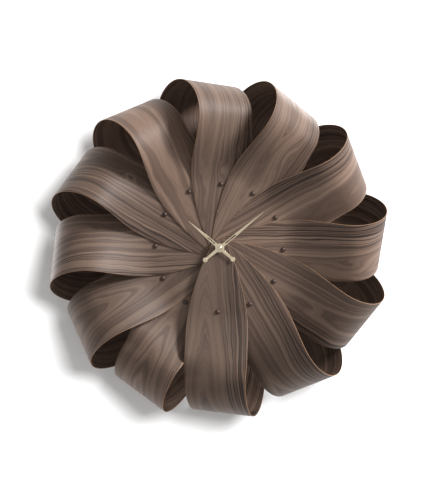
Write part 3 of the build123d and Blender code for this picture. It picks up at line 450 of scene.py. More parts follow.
@dataclass(frozen=True)
class Metal(Finish):
    """Worked metal: brushed, turned or plain, with a little tarnish."""

    tint: Colour = (0.6, 0.6, 0.6)
    tarnish: Colour = (0.3, 0.3, 0.3)
    rough: float = 0.3
    lay: Lay = Lay.NONE
    turn: float = 0.0

    def paint(self, graph: Graph) -> Paint:
        """Scratches in the metal's working direction and a soft cloud of tarnish.

        Args:
            graph: the material's graph.

        Returns:
            What the finish feeds to the surface.
        """
        place = graph.object_place()
        x, y, z = graph.split(place)
        if self.lay is Lay.ALONG:
            way = math.radians(self.turn)
            across = x * math.cos(way) - z * math.sin(way)
            along = x * math.sin(way) + z * math.cos(way)
            lines = graph.joined(across * 5200.0, along * 70.0, y * 900.0)
        elif self.lay is Lay.ROUND:
            lines = graph.joined(graph.math("SQRT", x * x + z * z) * 6000.0, y * 5200.0, 0.0)
        else:
            lines = graph.scaled(place, 1500.0)
        scratch = graph.noise(lines, 2.0, 0.6)
        cloud = graph.noise(graph.scaled(place, 55.0), 3.0)
        colour = graph.blend(graph.step(cloud, 0.42, 0.75) * 0.55, self.tint, self.tarnish)
        return Paint(
            graph.scaled(colour, 0.9 + scratch * 0.2),
            roughness=self.rough - 0.06 + scratch * 0.12 + cloud * 0.06,
            metallic=1.0,
            relief=scratch,
            relief_depth=0.00002,
            relief_strength=0.35,
        )


@dataclass(frozen=True)
class Moulded(Finish):
    """Moulded plastic or rubber with a fine spark texture."""

    tint: Colour = (0.02, 0.02, 0.02)
    rough: float = 0.45
    spark: float = 0.00005

    def paint(self, graph: Graph) -> Paint:
        """A fine even grain with faint flow clouds.

        Args:
            graph: the material's graph.

        Returns:
            What the finish feeds to the surface.
        """
        place = graph.object_place()
        grain = graph.noise(graph.scaled(place, 2600.0), 2.0)
        cloud = graph.noise(graph.scaled(place, 90.0), 2.0)
        return Paint(
            graph.scaled(self.tint, 0.85 + cloud * 0.3),
            roughness=self.rough + (grain - 0.5) * 0.18,
            relief=grain,
            relief_depth=self.spark,
        )


@dataclass(frozen=True)
class DarkWood(Finish):
    """Turned and oiled dark wood of the hour markers."""

    pale: Colour = (0.085, 0.046, 0.033)
    dark: Colour = (0.028, 0.016, 0.012)

    def paint(self, graph: Graph) -> Paint:
        """Close streaks through the wood with a thin oil coat.

        Args:
            graph: the material's graph.

        Returns:
            What the finish feeds to the surface.
        """
        x, y, z = graph.split(graph.object_place())
        streak = graph.noise(graph.joined(x * 1500.0, y * 1500.0, z * 160.0), 3.0, 0.6)
        colour = graph.blend(graph.step(streak, 0.38, 0.66), self.dark, self.pale)
        coat = {"Coat Weight": 0.12, "Coat Roughness": 0.25, "Specular IOR Level": 0.35}
        return Paint(colour, 0.38 + streak * 0.14, relief=streak, relief_depth=0.00004, uniform=coat)


@dataclass(frozen=True)
class Felt(Finish):
    """Pressed wool felt."""

    tint: Colour = (0.045, 0.043, 0.042)

    def paint(self, graph: Graph) -> Paint:
        """Tangled fibres at two scales.

        Args:
            graph: the material's graph.

        Returns:
            What the finish feeds to the surface.
        """
        place = graph.object_place()
        tangle = graph.noise(graph.scaled(place, 1400.0), 4.0, 0.7)
        tufts = graph.noise(graph.scaled(place, 260.0), 3.0, 0.6)
        colour = graph.scaled(self.tint, 0.5 + tangle * 0.7 + tufts * 0.4)
        height = tangle * 0.6 + tufts * 0.4
        sheen = {"Sheen Weight": 0.35, "Sheen Roughness": 0.6, "Specular IOR Level": 0.15}
        return Paint(
            colour, 0.95, relief=height, relief_depth=0.0005, relief_strength=0.8, uniform=sheen
        )


@dataclass(frozen=True)
class Winding(Finish):
    """Enamelled copper wire."""

    tint: Colour = (0.62, 0.20, 0.07)

    def paint(self, graph: Graph) -> Paint:
        """Copper under amber enamel that varies from turn to turn.

        Args:
            graph: the material's graph.

        Returns:
            What the finish feeds to the surface.
        """
        x, y, z = graph.split(graph.object_place())
        turns = graph.noise(graph.joined(x * 3600.0, y * 60.0, z * 60.0), 1.0)
        colour = graph.scaled(self.tint, 0.7 + turns * 0.6)
        coat = {"Coat Weight": 0.5, "Coat Roughness": 0.12}
        return Paint(colour, 0.26 + turns * 0.1, 0.9, relief=turns, relief_depth=0.00003, uniform=coat)


@dataclass(frozen=True)
class Board(Finish):
    """Green solder mask with tinned pads and traces."""

    gap: float = 1.6 * MM
    mask: Colour = (0.012, 0.10, 0.045)
    trace: Colour = (0.03, 0.21, 0.08)
    tin: Colour = (0.62, 0.60, 0.55)

    def paint(self, graph: Graph) -> Paint:
        """A net of straight traces under the mask, with pads where they cross.

        Args:
            graph: the material's graph.

        Returns:
            What the finish feeds to the surface.
        """
        x, y, z = graph.split(graph.object_place())
        columns, rows = x / self.gap, z / (self.gap * 1.5)
        column = abs(columns % 1.0 - 0.5)
        row = abs(rows % 1.0 - 0.5)
        corner = graph.joined(columns.floor(), rows.floor())
        cell = graph.node("ShaderNodeTexWhiteNoise", {"noise_dimensions": "2D"}, {"Vector": corner})
        lanes = graph.step(column, 0.40, 0.44) * graph.step(cell, 0.35, 0.36)
        cross = graph.step(row, 0.43, 0.46) * (1.0 - graph.step(cell, 0.6, 0.61))
        trace = graph.math("MAXIMUM", lanes, cross)
        pad = graph.step(column, 0.36, 0.38) * graph.step(row, 0.38, 0.40)
        weave = graph.noise(graph.joined(x * 2200.0, y * 900.0, z * 2200.0), 1.0)
        mask = graph.scaled(graph.blend(trace, self.mask, self.trace), 0.85 + weave * 0.3)
        colour = graph.blend(pad, mask, self.tin)
        return Paint(colour, 0.30 + weave * 0.12, pad, relief=trace + pad, relief_depth=0.00003)


@dataclass(frozen=True)
class Jacket(Finish):
    """A battery's printed sleeve with plain bands, and its bare steel ends."""

    left: float = -25.2 * MM
    length: float = 49.4 * MM
    black: Colour = (0.012, 0.012, 0.013)
    orange: Colour = (0.50, 0.20, 0.06)
    steel: Colour = (0.55, 0.55, 0.56)

    def paint(self, graph: Graph) -> Paint:
        """Bands by how far along the battery the point lies.

        Args:
            graph: the material's graph.

        Returns:
            What the finish feeds to the surface.
        """
        x, y, z = graph.split(graph.object_place())
        share = (x - self.left) / self.length
        scuff = graph.noise(graph.joined(x * 300.0, y * 1400.0, z * 1400.0), 3.0)
        sleeve = graph.ramp(share, [(0.0, self.black), (0.68, self.black), (0.70, self.orange)])
        left, right = 1.0 - graph.step(share, 0.012, 0.016), graph.step(share, 0.984, 0.988)
        ends = graph.math("MAXIMUM", left, right)
        colour = graph.scaled(graph.blend(ends, sleeve, self.steel), 0.88 + scuff * 0.24)
        return Paint(colour, 0.24 + scuff * 0.16, ends * 0.9, relief=scuff, relief_depth=0.00002)


# ---------------------------------------------------------------- mesh helpers
def ease(share: float) -> float:
    """From 0 to 1, level at both ends."""
    share = max(0.0, min(1.0, share))
    return share * share * (3 - 2 * share)


def dial_axes(hour: float) -> np.ndarray:
    """The axes of a place on the dial.

    Args:
        hour: the direction, in hours.

    Returns:
        Three rows: clockwise, outward along the dial, and away from the wall.
    """
    turn = math.radians(PITCH * hour)
    return np.array([
        [math.cos(turn), 0.0, -math.sin(turn)],
        [math.sin(turn), 0.0, math.cos(turn)],
        [0.0, -1.0, 0.0],
    ])


def on_circle(hour: float, radius: float) -> Point:
    """A dial point at an hour: across to the right, and up."""
    turn = math.radians(PITCH * hour)
    return radius * math.sin(turn), radius * math.cos(turn)


def add_object(mesh: bpy.types.Mesh, name: str) -> bpy.types.Object:
    """Puts a mesh in the scene at the origin."""
    made = bpy.data.objects.new(name, mesh)
    bpy.context.scene.collection.objects.link(made)
    return made


def drop_object(made: bpy.types.Object) -> None:
    """Removes a helper object, and its mesh where nothing else uses it.

    Args:
        made: the helper.
    """
    mesh = made.data
    bpy.data.objects.remove(made)
    if mesh.users == 0:
        bpy.data.meshes.remove(mesh)


def evaluated_mesh(made: bpy.types.Object) -> bpy.types.Mesh:
    """The plain mesh that an object's modifiers give."""
    graph = bpy.context.evaluated_depsgraph_get()
    return bpy.data.meshes.new_from_object(
        made.evaluated_get(graph), preserve_all_data_layers=True, depsgraph=graph
    )


def close_up(mesh: bpy.types.Mesh, sharp: float = 38.0, distance: float = 1e-6) -> None:
    """Merges doubles, turns all faces outwards and smooths all but the sharp edges.

    Args:
        mesh: the mesh to finish.
        sharp: the angle, in degrees, from which an edge stays sharp.
        distance: how near two points are to be one.
    """
    work = bmesh.new()
    work.from_mesh(mesh)
    bmesh.ops.remove_doubles(work, verts=work.verts, dist=distance)
    bmesh.ops.recalc_face_normals(work, faces=work.faces)
    work.to_mesh(mesh)
    work.free()
    mesh.polygons.foreach_set("use_smooth", [True] * len(mesh.polygons))
    mesh.set_sharp_from_angle(angle=math.radians(sharp))


class Form:
    """Collects turned and extruded shapes into one mesh. Heights are measured off the wall."""

    def __init__(self) -> None:
        """Starts empty."""
        self.points: list[tuple[float, float, float]] = []
        self.faces: list[tuple[int, ...]] = []

    def turned(
        self, profile: Sequence[Point], centre: Point = (0.0, 0.0), parts: int = 48, ring: bool = False
    ) -> "Form":
        """Turns a profile about an axis square to the wall.

        Args:
            profile: (radius, height) points; an open one starts and ends on the axis.
            centre: the dial point that the axis goes through.
            parts: how many steps there are round the axis.
            ring: whether the last point joins the first.

        Returns:
            The form itself.
        """
        rows: list[list[int]] = []
        for radius, height in profile:
            count = parts if radius > 1e-9 else 1
            rows.append(list(range(len(self.points), len(self.points) + count)))
            for index in range(count):
                angle = 2 * math.pi * index / parts
                x = centre[0] + radius * math.cos(angle)
                z = centre[1] + radius * math.sin(angle)
                self.points.append((x, -height, z))
        pairs = list(zip(rows, rows[1:]))
        if ring:
            pairs.append((rows[-1], rows[0]))
        for low, high in pairs:
            for index in range(parts):
                after = (index + 1) % parts
                corners = [
                    low[index % len(low)], low[after % len(low)],
                    high[after % len(high)], high[index % len(high)],
                ]
                face = tuple(dict.fromkeys(corners))
                if len(face) > 2:
                    self.faces.append(face)
        return self

    def prism(self, outline: Sequence[Point], low: float, high: float) -> "Form":
        """An upright block over an outline on the dial.

        Args:
            outline: its corners, in order.
            low: the height where it starts.
            high: the height where it ends.

        Returns:
            The form itself.
        """
        start, count = len(self.points), len(outline)
        self.points += [(x, -low, z) for x, z in outline]
        self.points += [(x, -high, z) for x, z in outline]
        self.faces.append(tuple(start + index for index in range(count)))
        self.faces.append(tuple(start + count + index for index in reversed(range(count))))
        for index in range(count):
            here, after = start + index, start + (index + 1) % count
            self.faces.append((after, here, here + count, after + count))
        return self

    def object(self, name: str, sharp: float = 38.0) -> bpy.types.Object:
        """The finished closed mesh as an object.

        Args:
            name: the object's name.
            sharp: the angle from which an edge stays sharp.

        Returns:
            The object, at the origin.
        """
        mesh = bpy.data.meshes.new(name)
        mesh.from_pydata(self.points, [], self.faces)
        close_up(mesh, sharp)
        return add_object(mesh, name)


def dome_profile(radius: float, low: float, rise: float, steps: int = 10) -> list[Point]:
    """Points of a dome no taller than its radius, from its rim to its top.

    Args:
        radius: the rim's radius.
        low: the rim's height.
        rise: how far the top stands over the rim.
        steps: how many steps there are.

    Returns:
        (radius, height) points.
    """
    ball = (radius**2 + rise**2) / (2 * rise)
    angles = [math.asin(radius / ball) * (1 - step / steps) for step in range(steps + 1)]
    return [(ball * math.sin(a), low + rise - ball * (1 - math.cos(a))) for a in angles]


def carve(made: bpy.types.Object, cutter: bpy.types.Object) -> None:
    """Cuts one closed mesh out of another and removes the cutter.

    Args:
        made: the piece that is cut.
        cutter: the closed mesh to take away.
    """
    cut = made.modifiers.new("cut", "BOOLEAN")
    cut.operation = "DIFFERENCE"
    cut.solver = "EXACT"
    cut.object = cutter
    result = evaluated_mesh(made)
    made.modifiers.clear()
    if len(result.polygons) > 0:
        old = made.data
        made.data = result
        bpy.data.meshes.remove(old)
    drop_object(cutter)


def dress(made: bpy.types.Object, finish: Finish) -> None:
    """Gives every slot of an object one finish.

    Args:
        made: the object.
        finish: the finish.
    """
    if not made.material_slots:
        made.data.materials.append(finish.material())
    for place in made.material_slots:
        place.material = finish.material()


# ---------------------------------------------------------------- geometry node trees
class TreeMaker:
    """A geometry tree with named inputs that ends in Realize Instances and Set Material."""

    def __init__(self, name: str) -> None:
        """Starts the tree with its geometry input and output."""
        self.tree = bpy.data.node_groups.new(name, "GeometryNodeTree")
        self.graph = Graph(self.tree)
        self.tree.interface.new_socket("Geometry", in_out="INPUT", socket_type="NodeSocketGeometry")
        self.tree.interface.new_socket("Geometry", in_out="OUTPUT", socket_type="NodeSocketGeometry")
        self.entry = self.tree.nodes.new("NodeGroupInput")

    def named(self, name: str, kind: str = "Float") -> Sock:
        """Adds a named input.

        Args:
            name: what the input is called.
            kind: Float, Int, Object, Material or Geometry.

        Returns:
            The input as a socket.
        """
        self.tree.interface.new_socket(name, in_out="INPUT", socket_type=f"NodeSocket{kind}")
        return Sock(self.graph, find_socket(self.entry.outputs, name))

    def shape(self, name: str) -> Sock:
        """The geometry of the object that a named input gives."""
        source = self.named(name, "Object")
        return self.graph.node("GeometryNodeObjectInfo", None, {"Object": source}, "Geometry")

    def given(self) -> Sock:
        """The object's own geometry."""
        return Sock(self.graph, self.entry.outputs[0])

    def end(self, geometry: Sock) -> bpy.types.NodeTree:
        """Finishes the tree with the material that the input Finish names.

        Args:
            geometry: what the tree has made.

        Returns:
            The tree.
        """
        finish = self.named("Finish", "Material")
        real = self.graph.node("GeometryNodeRealizeInstances", None, {"Geometry": geometry})
        worn = self.graph.node("GeometryNodeSetMaterial", None, {"Geometry": real, "Material": finish})
        out = self.tree.nodes.new("NodeGroupOutput")
        self.tree.links.new(worn.socket, out.inputs[0])
        return self.tree


def grow(
    name: str, tree: bpy.types.NodeTree, inputs: dict[str, Any], guide: bpy.types.Object
) -> bpy.types.Object:
    """Runs a geometry tree on a guide and keeps the result as a plain mesh.

    Args:
        name: the finished piece's name.
        tree: the geometry tree.
        inputs: values for the tree's named inputs.
        guide: the object whose geometry the tree starts from, which is removed.

    Returns:
        The finished piece.
    """
    modifier = guide.modifiers.new("grow", "NODES")
    modifier.node_group = tree
    for item in tree.interface.items_tree:
        if item.in_out == "INPUT" and item.name in inputs:
            modifier[item.identifier] = inputs[item.name]
    mesh = evaluated_mesh(guide)
    mesh.name = name
    guide.modifiers.clear()
    drop_object(guide)
    return add_object(mesh, name)


@functools.cache
def ribbon_tree() -> bpy.types.NodeTree:
    """A ribbon that follows its guide's points.

    Each point is the ribbon's middle and carries its direction across, face, half width, arc and
    thickness. The object named Section carries the points of its cross-section, the first one twice.

    Returns:
        The tree.
    """
    maker = TreeMaker("ribbon_along_stations")
    graph = maker.graph
    section = maker.shape("Section")
    half_thick = maker.named("Half thickness")
    guide = maker.given()
    rows = graph.node("GeometryNodeAttributeDomainSize", None, {"Geometry": guide}, "Point Count")
    columns = graph.node("GeometryNodeAttributeDomainSize", None, {"Geometry": section}, "Point Count")
    grid = graph.node("GeometryNodeMeshGrid", None, {"Vertices X": rows, "Vertices Y": columns}, "Mesh")
    index = graph.node("GeometryNodeInputIndex")
    row = (index / columns).floor()
    column = index - row * columns

    def sampled(source: Sock, name: str, place: Sock, kind: str = "FLOAT") -> Sock:
        """A source's attribute at one of its points.

        Args:
            source: the points.
            name: the attribute's name.
            place: which point.
            kind: the attribute's type.

        Returns:
            Its value.
        """
        kinds = {"data_type": kind}
        value = graph.node("GeometryNodeInputNamedAttribute", kinds, {"Name": name}, "Attribute")
        values = {"Geometry": source, "Value": value, "Index": place}
        return graph.node("GeometryNodeSampleIndex", kinds, values, "Value")

    middle = sampled(guide, "position", row, "FLOAT_VECTOR")
    across = sampled(guide, "across", row, "FLOAT_VECTOR")
    face = sampled(guide, "face", row, "FLOAT_VECTOR")
    inner = graph.math("MAXIMUM", sampled(guide, "half", row) - sampled(section, "inset", column), 0.0)
    reach = sampled(section, "side", column) * inner
    level = sampled(section, "level", column)
    height = level * sampled(guide, "thick", row) * half_thick
    place = graph.vector("ADD", middle, graph.scaled(across, reach))
    place = graph.vector("ADD", place, graph.scaled(face, height))
    shaped = graph.node("GeometryNodeSetPosition", None, {"Geometry": grid, "Position": place})
    maps = {
        "Grain": graph.joined(sampled(guide, "arc", row), reach),
        "Rim": graph.joined(sampled(section, "rim", column), level),
    }
    for name, value in maps.items():
        kinds = {"data_type": "FLOAT_VECTOR"}
        kept = graph.node("GeometryNodeFieldOnDomain", kinds, {"Value": value}, "Value")
        settings = {"data_type": "FLOAT2", "domain": "CORNER"}
        values = {"Geometry": shaped, "Name": name, "Value": kept}
        shaped = graph.node("GeometryNodeStoreNamedAttribute", settings, values)
    merged = graph.node("GeometryNodeMergeByDistance", None, {"Geometry": shaped, "Distance": 2e-6})
    return maker.end(merged)


@functools.cache
def copies_tree() -> bpy.types.NodeTree:
    """A copy of the object named Piece at every point of the guide.

    Returns:
        The tree.
    """
    maker = TreeMaker("piece_at_points")
    values = {"Points": maker.given(), "Instance": maker.shape("Piece")}
    return maker.end(maker.graph.node("GeometryNodeInstanceOnPoints", None, values))


@functools.cache
def dial_circle_tree() -> bpy.types.NodeTree:
    """Copies of a piece round the dial, each at the height of the petal that it sits on.

    The petals lie in a spiral, so the height grows by Step from the hour Lowest on.

    Returns:
        The tree.
    """
    maker = TreeMaker("piece_round_the_dial")
    graph = maker.graph
    piece = maker.shape("Piece")
    count = maker.named("Count", "Int")
    radius = maker.named("Radius")
    height = maker.named("Height")
    step = maker.named("Step")
    lowest = maker.named("Lowest hour")
    hour = graph.node("GeometryNodeInputIndex") + 1.0
    angle = hour * (2 * math.pi) / count
    rise = height + step * ((hour - lowest) % count)
    sine, cosine = graph.math("SINE", angle), graph.math("COSINE", angle)
    place = graph.joined(radius * sine, rise * -1.0, radius * cosine)
    points = graph.node("GeometryNodePoints", None, {"Count": count, "Position": place})
    copies = graph.node("GeometryNodeInstanceOnPoints", None, {"Points": points, "Instance": piece})
    return maker.end(copies)


@functools.cache
def coil_tree() -> bpy.types.NodeTree:
    """Turns of wire side by side along a straight core that runs left to right.

    Returns:
        The tree.
    """
    maker = TreeMaker("turns_of_wire")
    graph = maker.graph
    start = maker.named("Start", "Vector")
    length = maker.named("Length")
    turns = maker.named("Turns", "Int")
    radius = maker.named("Radius")
    wire = maker.named("Wire radius")
    circle = "GeometryNodeCurvePrimitiveCircle"
    ring = graph.node(circle, None, {"Resolution": 40, "Radius": radius - wire}, "Curve")
    round_wire = graph.node(circle, None, {"Resolution": 8, "Radius": wire}, "Curve")
    turn = graph.node("GeometryNodeCurveToMesh", None, {"Curve": ring, "Profile Curve": round_wire})
    apart = graph.joined(length / (turns - 1.0), 0.0)
    values = {"Count": turns, "Start Location": start, "Offset": apart}
    line = graph.node("GeometryNodeMeshLine", None, values)
    values = {"Points": line, "Instance": turn, "Rotation": (0.0, math.pi / 2, 0.0)}
    return maker.end(graph.node("GeometryNodeInstanceOnPoints", None, values))


def point_guide(points: Iterable[Sequence[float]], name: str = "guide") -> bpy.types.Object:
    """Bare points for a geometry tree to work on."""
    mesh = bpy.data.meshes.new(name)
    mesh.from_pydata([tuple(map(float, point)) for point in points], [], [])
    return add_object(mesh, name)


def add_attribute(guide: bpy.types.Object, name: str, values: np.ndarray) -> None:
    """Stores one number or one vector for each point of a guide.

    Args:
        guide: the points.
        name: the attribute's name.
        values: a row for each point.
    """
    kind, key = ("FLOAT", "value") if values.ndim == 1 else ("FLOAT_VECTOR", "vector")
    made = guide.data.attributes.new(name, kind, "POINT")
    made.data.foreach_set(key, values.astype(np.float32).ravel())


# ---------------------------------------------------------------- petals
Station = tuple[np.ndarray, np.ndarray, float]


@dataclass
class RibbonRule:
    """The rule that every petal's ribbon follows, in metres, in a petal's own axes.

    The axes are clockwise, outward along the dial, and away from the wall.
    """

    lowest_hour: int = 7
    veneer: float = 1.2 * MM
    layer: float = 1.4 * MM
    dial: float = 142.8 * MM
    ribbon_half: float = 67.5 * MM
    tongue: float = 19.6 * MM
    flare_half: float = 20.9 * MM
    flare_length: float = 190 * MM
    flare_power: float = 1.8
    crest: float = 285 * MM
    crest_rise: float = 38 * MM
    crest_shift: float = 3.8 * MM
    rise_start: dict[int, float] = field(default_factory=lambda: {7: 180 * MM})
    rise_start_usual: float = 138 * MM
    twist_start: dict[int, float] = field(default_factory=lambda: {6: 228 * MM, 7: 232 * MM})
    twist_start_usual: float = 140 * MM
    flat_tilt: dict[int, float] = field(default_factory=lambda: {6: 1.0, 7: 1.0})
    flat_tilt_usual: float = 2.0
    crest_tilt: tuple[float, ...] = (28, 27, 26, 27, 28, 19, 21, 25, 26, 28, 29, 29.5)
    curl_reach: float = 74.56 * MM
    curl_skew: float = 4.9 * MM
    rear_crest: float = 36 * MM
    tail_turn: float = -16.5
    tail_inner: float = 112 * MM
    tail_outer: float = 168 * MM
    tail_height: float = 13.1 * MM
    tail_gap: float = 1.2 * MM
    edge_round: float = 0.45 * MM
    face_columns: int = 20
    flat_end: float = 125 * MM
    marker_circle: float = 138.7 * MM
    screw_circle: float = 138 * MM
    screw_spread: float = 15 * MM

    TONGUE_ANGLES = (0, 4, 10, 18, 27, 36, 45, 54, 63, 72, 81)

    def layer_of(self, hour: int) -> int:
        """How many petals lie under this one."""
        return (hour - self.lowest_hour) % PETALS

    def seat(self, hour: int) -> float:
        """Height of the middle of a petal's thickness on the dial."""
        return self.dial + self.veneer / 2 + self.layer_of(hour) * self.layer

    def half_width(self, along: float) -> float:
        """Half the width of the front leaf.

        Args:
            along: the distance from the hands' axis.

        Returns:
            Half the width there.
        """
        inner = math.sqrt(max(0.0, self.tongue**2 - min(along, 0.0) ** 2))
        if along >= self.flare_length:
            return self.ribbon_half
        spread = self.ribbon_half - self.flare_half
        outer = self.ribbon_half - spread * (1 - along / self.flare_length) ** self.flare_power
        return inner + (max(self.tongue, outer) - inner) * ease((along + 2 * MM) / (14 * MM))

    def front(self, hour: int, along: float) -> Station:
        """A station on the front leaf.

        Args:
            hour: which petal.
            along: the distance from the hands' axis.

        Returns:
            Its middle, direction across and half width.
        """
        rise_start = self.rise_start.get(hour, self.rise_start_usual)
        twist_start = self.twist_start.get(hour, self.twist_start_usual)
        flat = self.flat_tilt.get(hour, self.flat_tilt_usual) * ease(along / self.twist_start_usual * 2)
        twist = ease((along - twist_start) / (self.crest - twist_start))
        tilt = math.radians(flat + (self.crest_tilt[hour - 1] - flat) * twist)
        rise = self.crest_rise * ease((along - rise_start) / (self.crest - rise_start))
        shift_start = self.rise_start_usual
        shift = self.crest_shift * ease((along - shift_start) / (self.crest - shift_start))
        middle = np.array([shift, along, self.seat(hour) + rise])
        return middle, np.array([math.cos(tilt), 0.0, -math.sin(tilt)]), self.half_width(along)

    def curl(self, hour: int, turn: float) -> Station:
        """A station round the loop.

        Args:
            hour: which petal.
            turn: 0 at the front crest, 180 degrees at the rear crest.

        Returns:
            Its middle, direction across and half width.
        """
        crest, across, half = self.front(hour, self.crest)
        tilt = math.radians(self.crest_tilt[hour - 1])
        outward = np.array([math.sin(tilt), 0.0, math.cos(tilt)])
        depth = (crest[2] - self.rear_crest) / (2 * math.cos(tilt))
        angle = math.radians(turn)
        ahead = np.array([0.0, math.sin(angle), 0.0])
        middle = crest + ahead * self.curl_reach - outward * depth * (1 - math.cos(angle))
        edge = across * half - ahead * self.curl_skew
        length = float(np.linalg.norm(edge))
        return middle, edge / length, length

    def tail_point(self, radius: float) -> np.ndarray:
        """Middle of the flat tail at a radius."""
        turn = math.radians(self.tail_turn)
        return np.array([radius * math.sin(turn), radius * math.cos(turn), self.tail_height])

    def tail_half(self, radius: float) -> float:
        """Half the width that leaves neighbouring tails a gap."""
        return min(self.ribbon_half, radius * math.tan(math.radians(PITCH / 2)) - self.tail_gap / 2)

    def rear(self, hour: int, share: float) -> Station:
        """A station on the rear leaf.

        Args:
            hour: which petal.
            share: 0 at the rear crest, 1 at the ring.

        Returns:
            Its middle, direction across and half width.
        """
        start, end = self.curl(hour, 180.0)[0], self.tail_point(self.tail_outer)
        length = float(np.linalg.norm(end - start))
        leave = np.array([0.0, -length, 0.0])
        inward = self.tail_point(self.tail_inner) - end
        arrive = inward / np.linalg.norm(inward) * length
        square, cube = share**2, share**3
        middle = start * (2 * cube - 3 * square + 1) + leave * (cube - 2 * square + share)
        middle += end * (3 * square - 2 * cube) + arrive * (cube - square)
        tilt = math.radians(self.crest_tilt[hour - 1]) * (1 - ease(share))
        turn = math.radians(self.tail_turn) * ease(share)
        level = math.cos(tilt)
        across = np.array([math.cos(turn) * level, -math.sin(turn) * level, -math.sin(tilt)])
        return middle, across, self.tail_half(math.hypot(middle[0], middle[1]))

    def tail(self, radius: float) -> Station:
        """A station on the flat tail."""
        turn = math.radians(self.tail_turn)
        across = np.array([math.cos(turn), -math.sin(turn), 0.0])
        return self.tail_point(radius), across, self.tail_half(radius)

    def stations(self, hour: int) -> list[Station]:
        """All stations of a petal, from the tip of its tongue to the end of its tail.

        Args:
            hour: which petal.

        Returns:
            The stations in order.
        """
        tongue = [-self.tongue * math.cos(math.radians(angle)) for angle in self.TONGUE_ANGLES]
        flat = list(np.linspace(0.0, self.flat_end, 18))
        rise = list(np.linspace(self.flat_end, self.crest, 34))[1:]
        made = [self.front(hour, along) for along in tongue + flat + rise]
        made += [self.curl(hour, turn) for turn in np.linspace(0, 180, 49)[1:]]
        made += [self.rear(hour, share) for share in np.linspace(0, 1, 27)[1:]]
        made += [self.tail(radius) for radius in np.linspace(self.tail_outer, self.tail_inner, 8)[1:]]
        return made

    def tail_screws(self, hour: int) -> list[Point]:
        """Dial points of the two screws of a petal's tail.

        Args:
            hour: which petal.

        Returns:
            The two points.
        """
        radius = math.hypot(self.screw_circle, self.screw_spread)
        lean = math.degrees(math.atan2(self.screw_spread, self.screw_circle))
        return [on_circle(hour + (self.tail_turn + side * lean) / PITCH, radius) for side in (-1, 1)]

    def section(self) -> bpy.types.Object:
        """The cross-section's points: two faces and two rounded edges, with the first repeated.

        Returns:
            The points as an object.
        """
        half = self.veneer / 2
        straight = half - self.edge_round
        rows: list[tuple[float, float, float, float]] = []
        for side in (1.0, -1.0):
            for share in np.linspace(-1.0, 1.0, self.face_columns + 1):
                rows.append((side * share, self.edge_round, side, 0.0))
            for angle in (60, 30, 0, -0.001, -30, -60):
                turn = math.radians(angle)
                level = math.copysign(straight, angle or 1.0) + self.edge_round * math.sin(turn)
                rows.append((side, self.edge_round * (1 - math.cos(turn)), side * level / half, 1.0))
        rows.append(rows[0])
        guide = point_guide([(0.0, 0.0, 0.0)] * len(rows), "section")
        table = np.array(rows)
        for column, name in enumerate(("side", "inset", "level", "rim")):
            add_attribute(guide, name, table[:, column])
        return guide

    def guide(self, hour: int) -> bpy.types.Object:
        """The stations of a petal as bare points with their attributes, in the clock's frame.

        The first and last are doubled with no thickness, which closes the ends.

        Args:
            hour: which petal.

        Returns:
            The guide object.
        """
        middles, across, half = (np.array(part) for part in zip(*self.stations(hour)))
        face = np.cross(across, np.gradient(middles, axis=0))
        face /= np.linalg.norm(face, axis=1)[:, None]
        parts = (middles, across, half, face, np.ones(len(half)))
        middles, across, half, face, thick = (np.concatenate([p[:1], p, p[-1:]]) for p in parts)
        thick[[0, -1]] = 0.0
        steps = np.linalg.norm(np.diff(middles, axis=0), axis=1)
        axes = dial_axes(hour)
        arc = np.concatenate([[0.0], np.cumsum(steps)])
        named = {"across": across @ axes, "face": face @ axes, "half": half, "arc": arc, "thick": thick}
        made = point_guide(middles @ axes, "stations")
        for name, values in named.items():
            add_attribute(made, name, values)
        return made


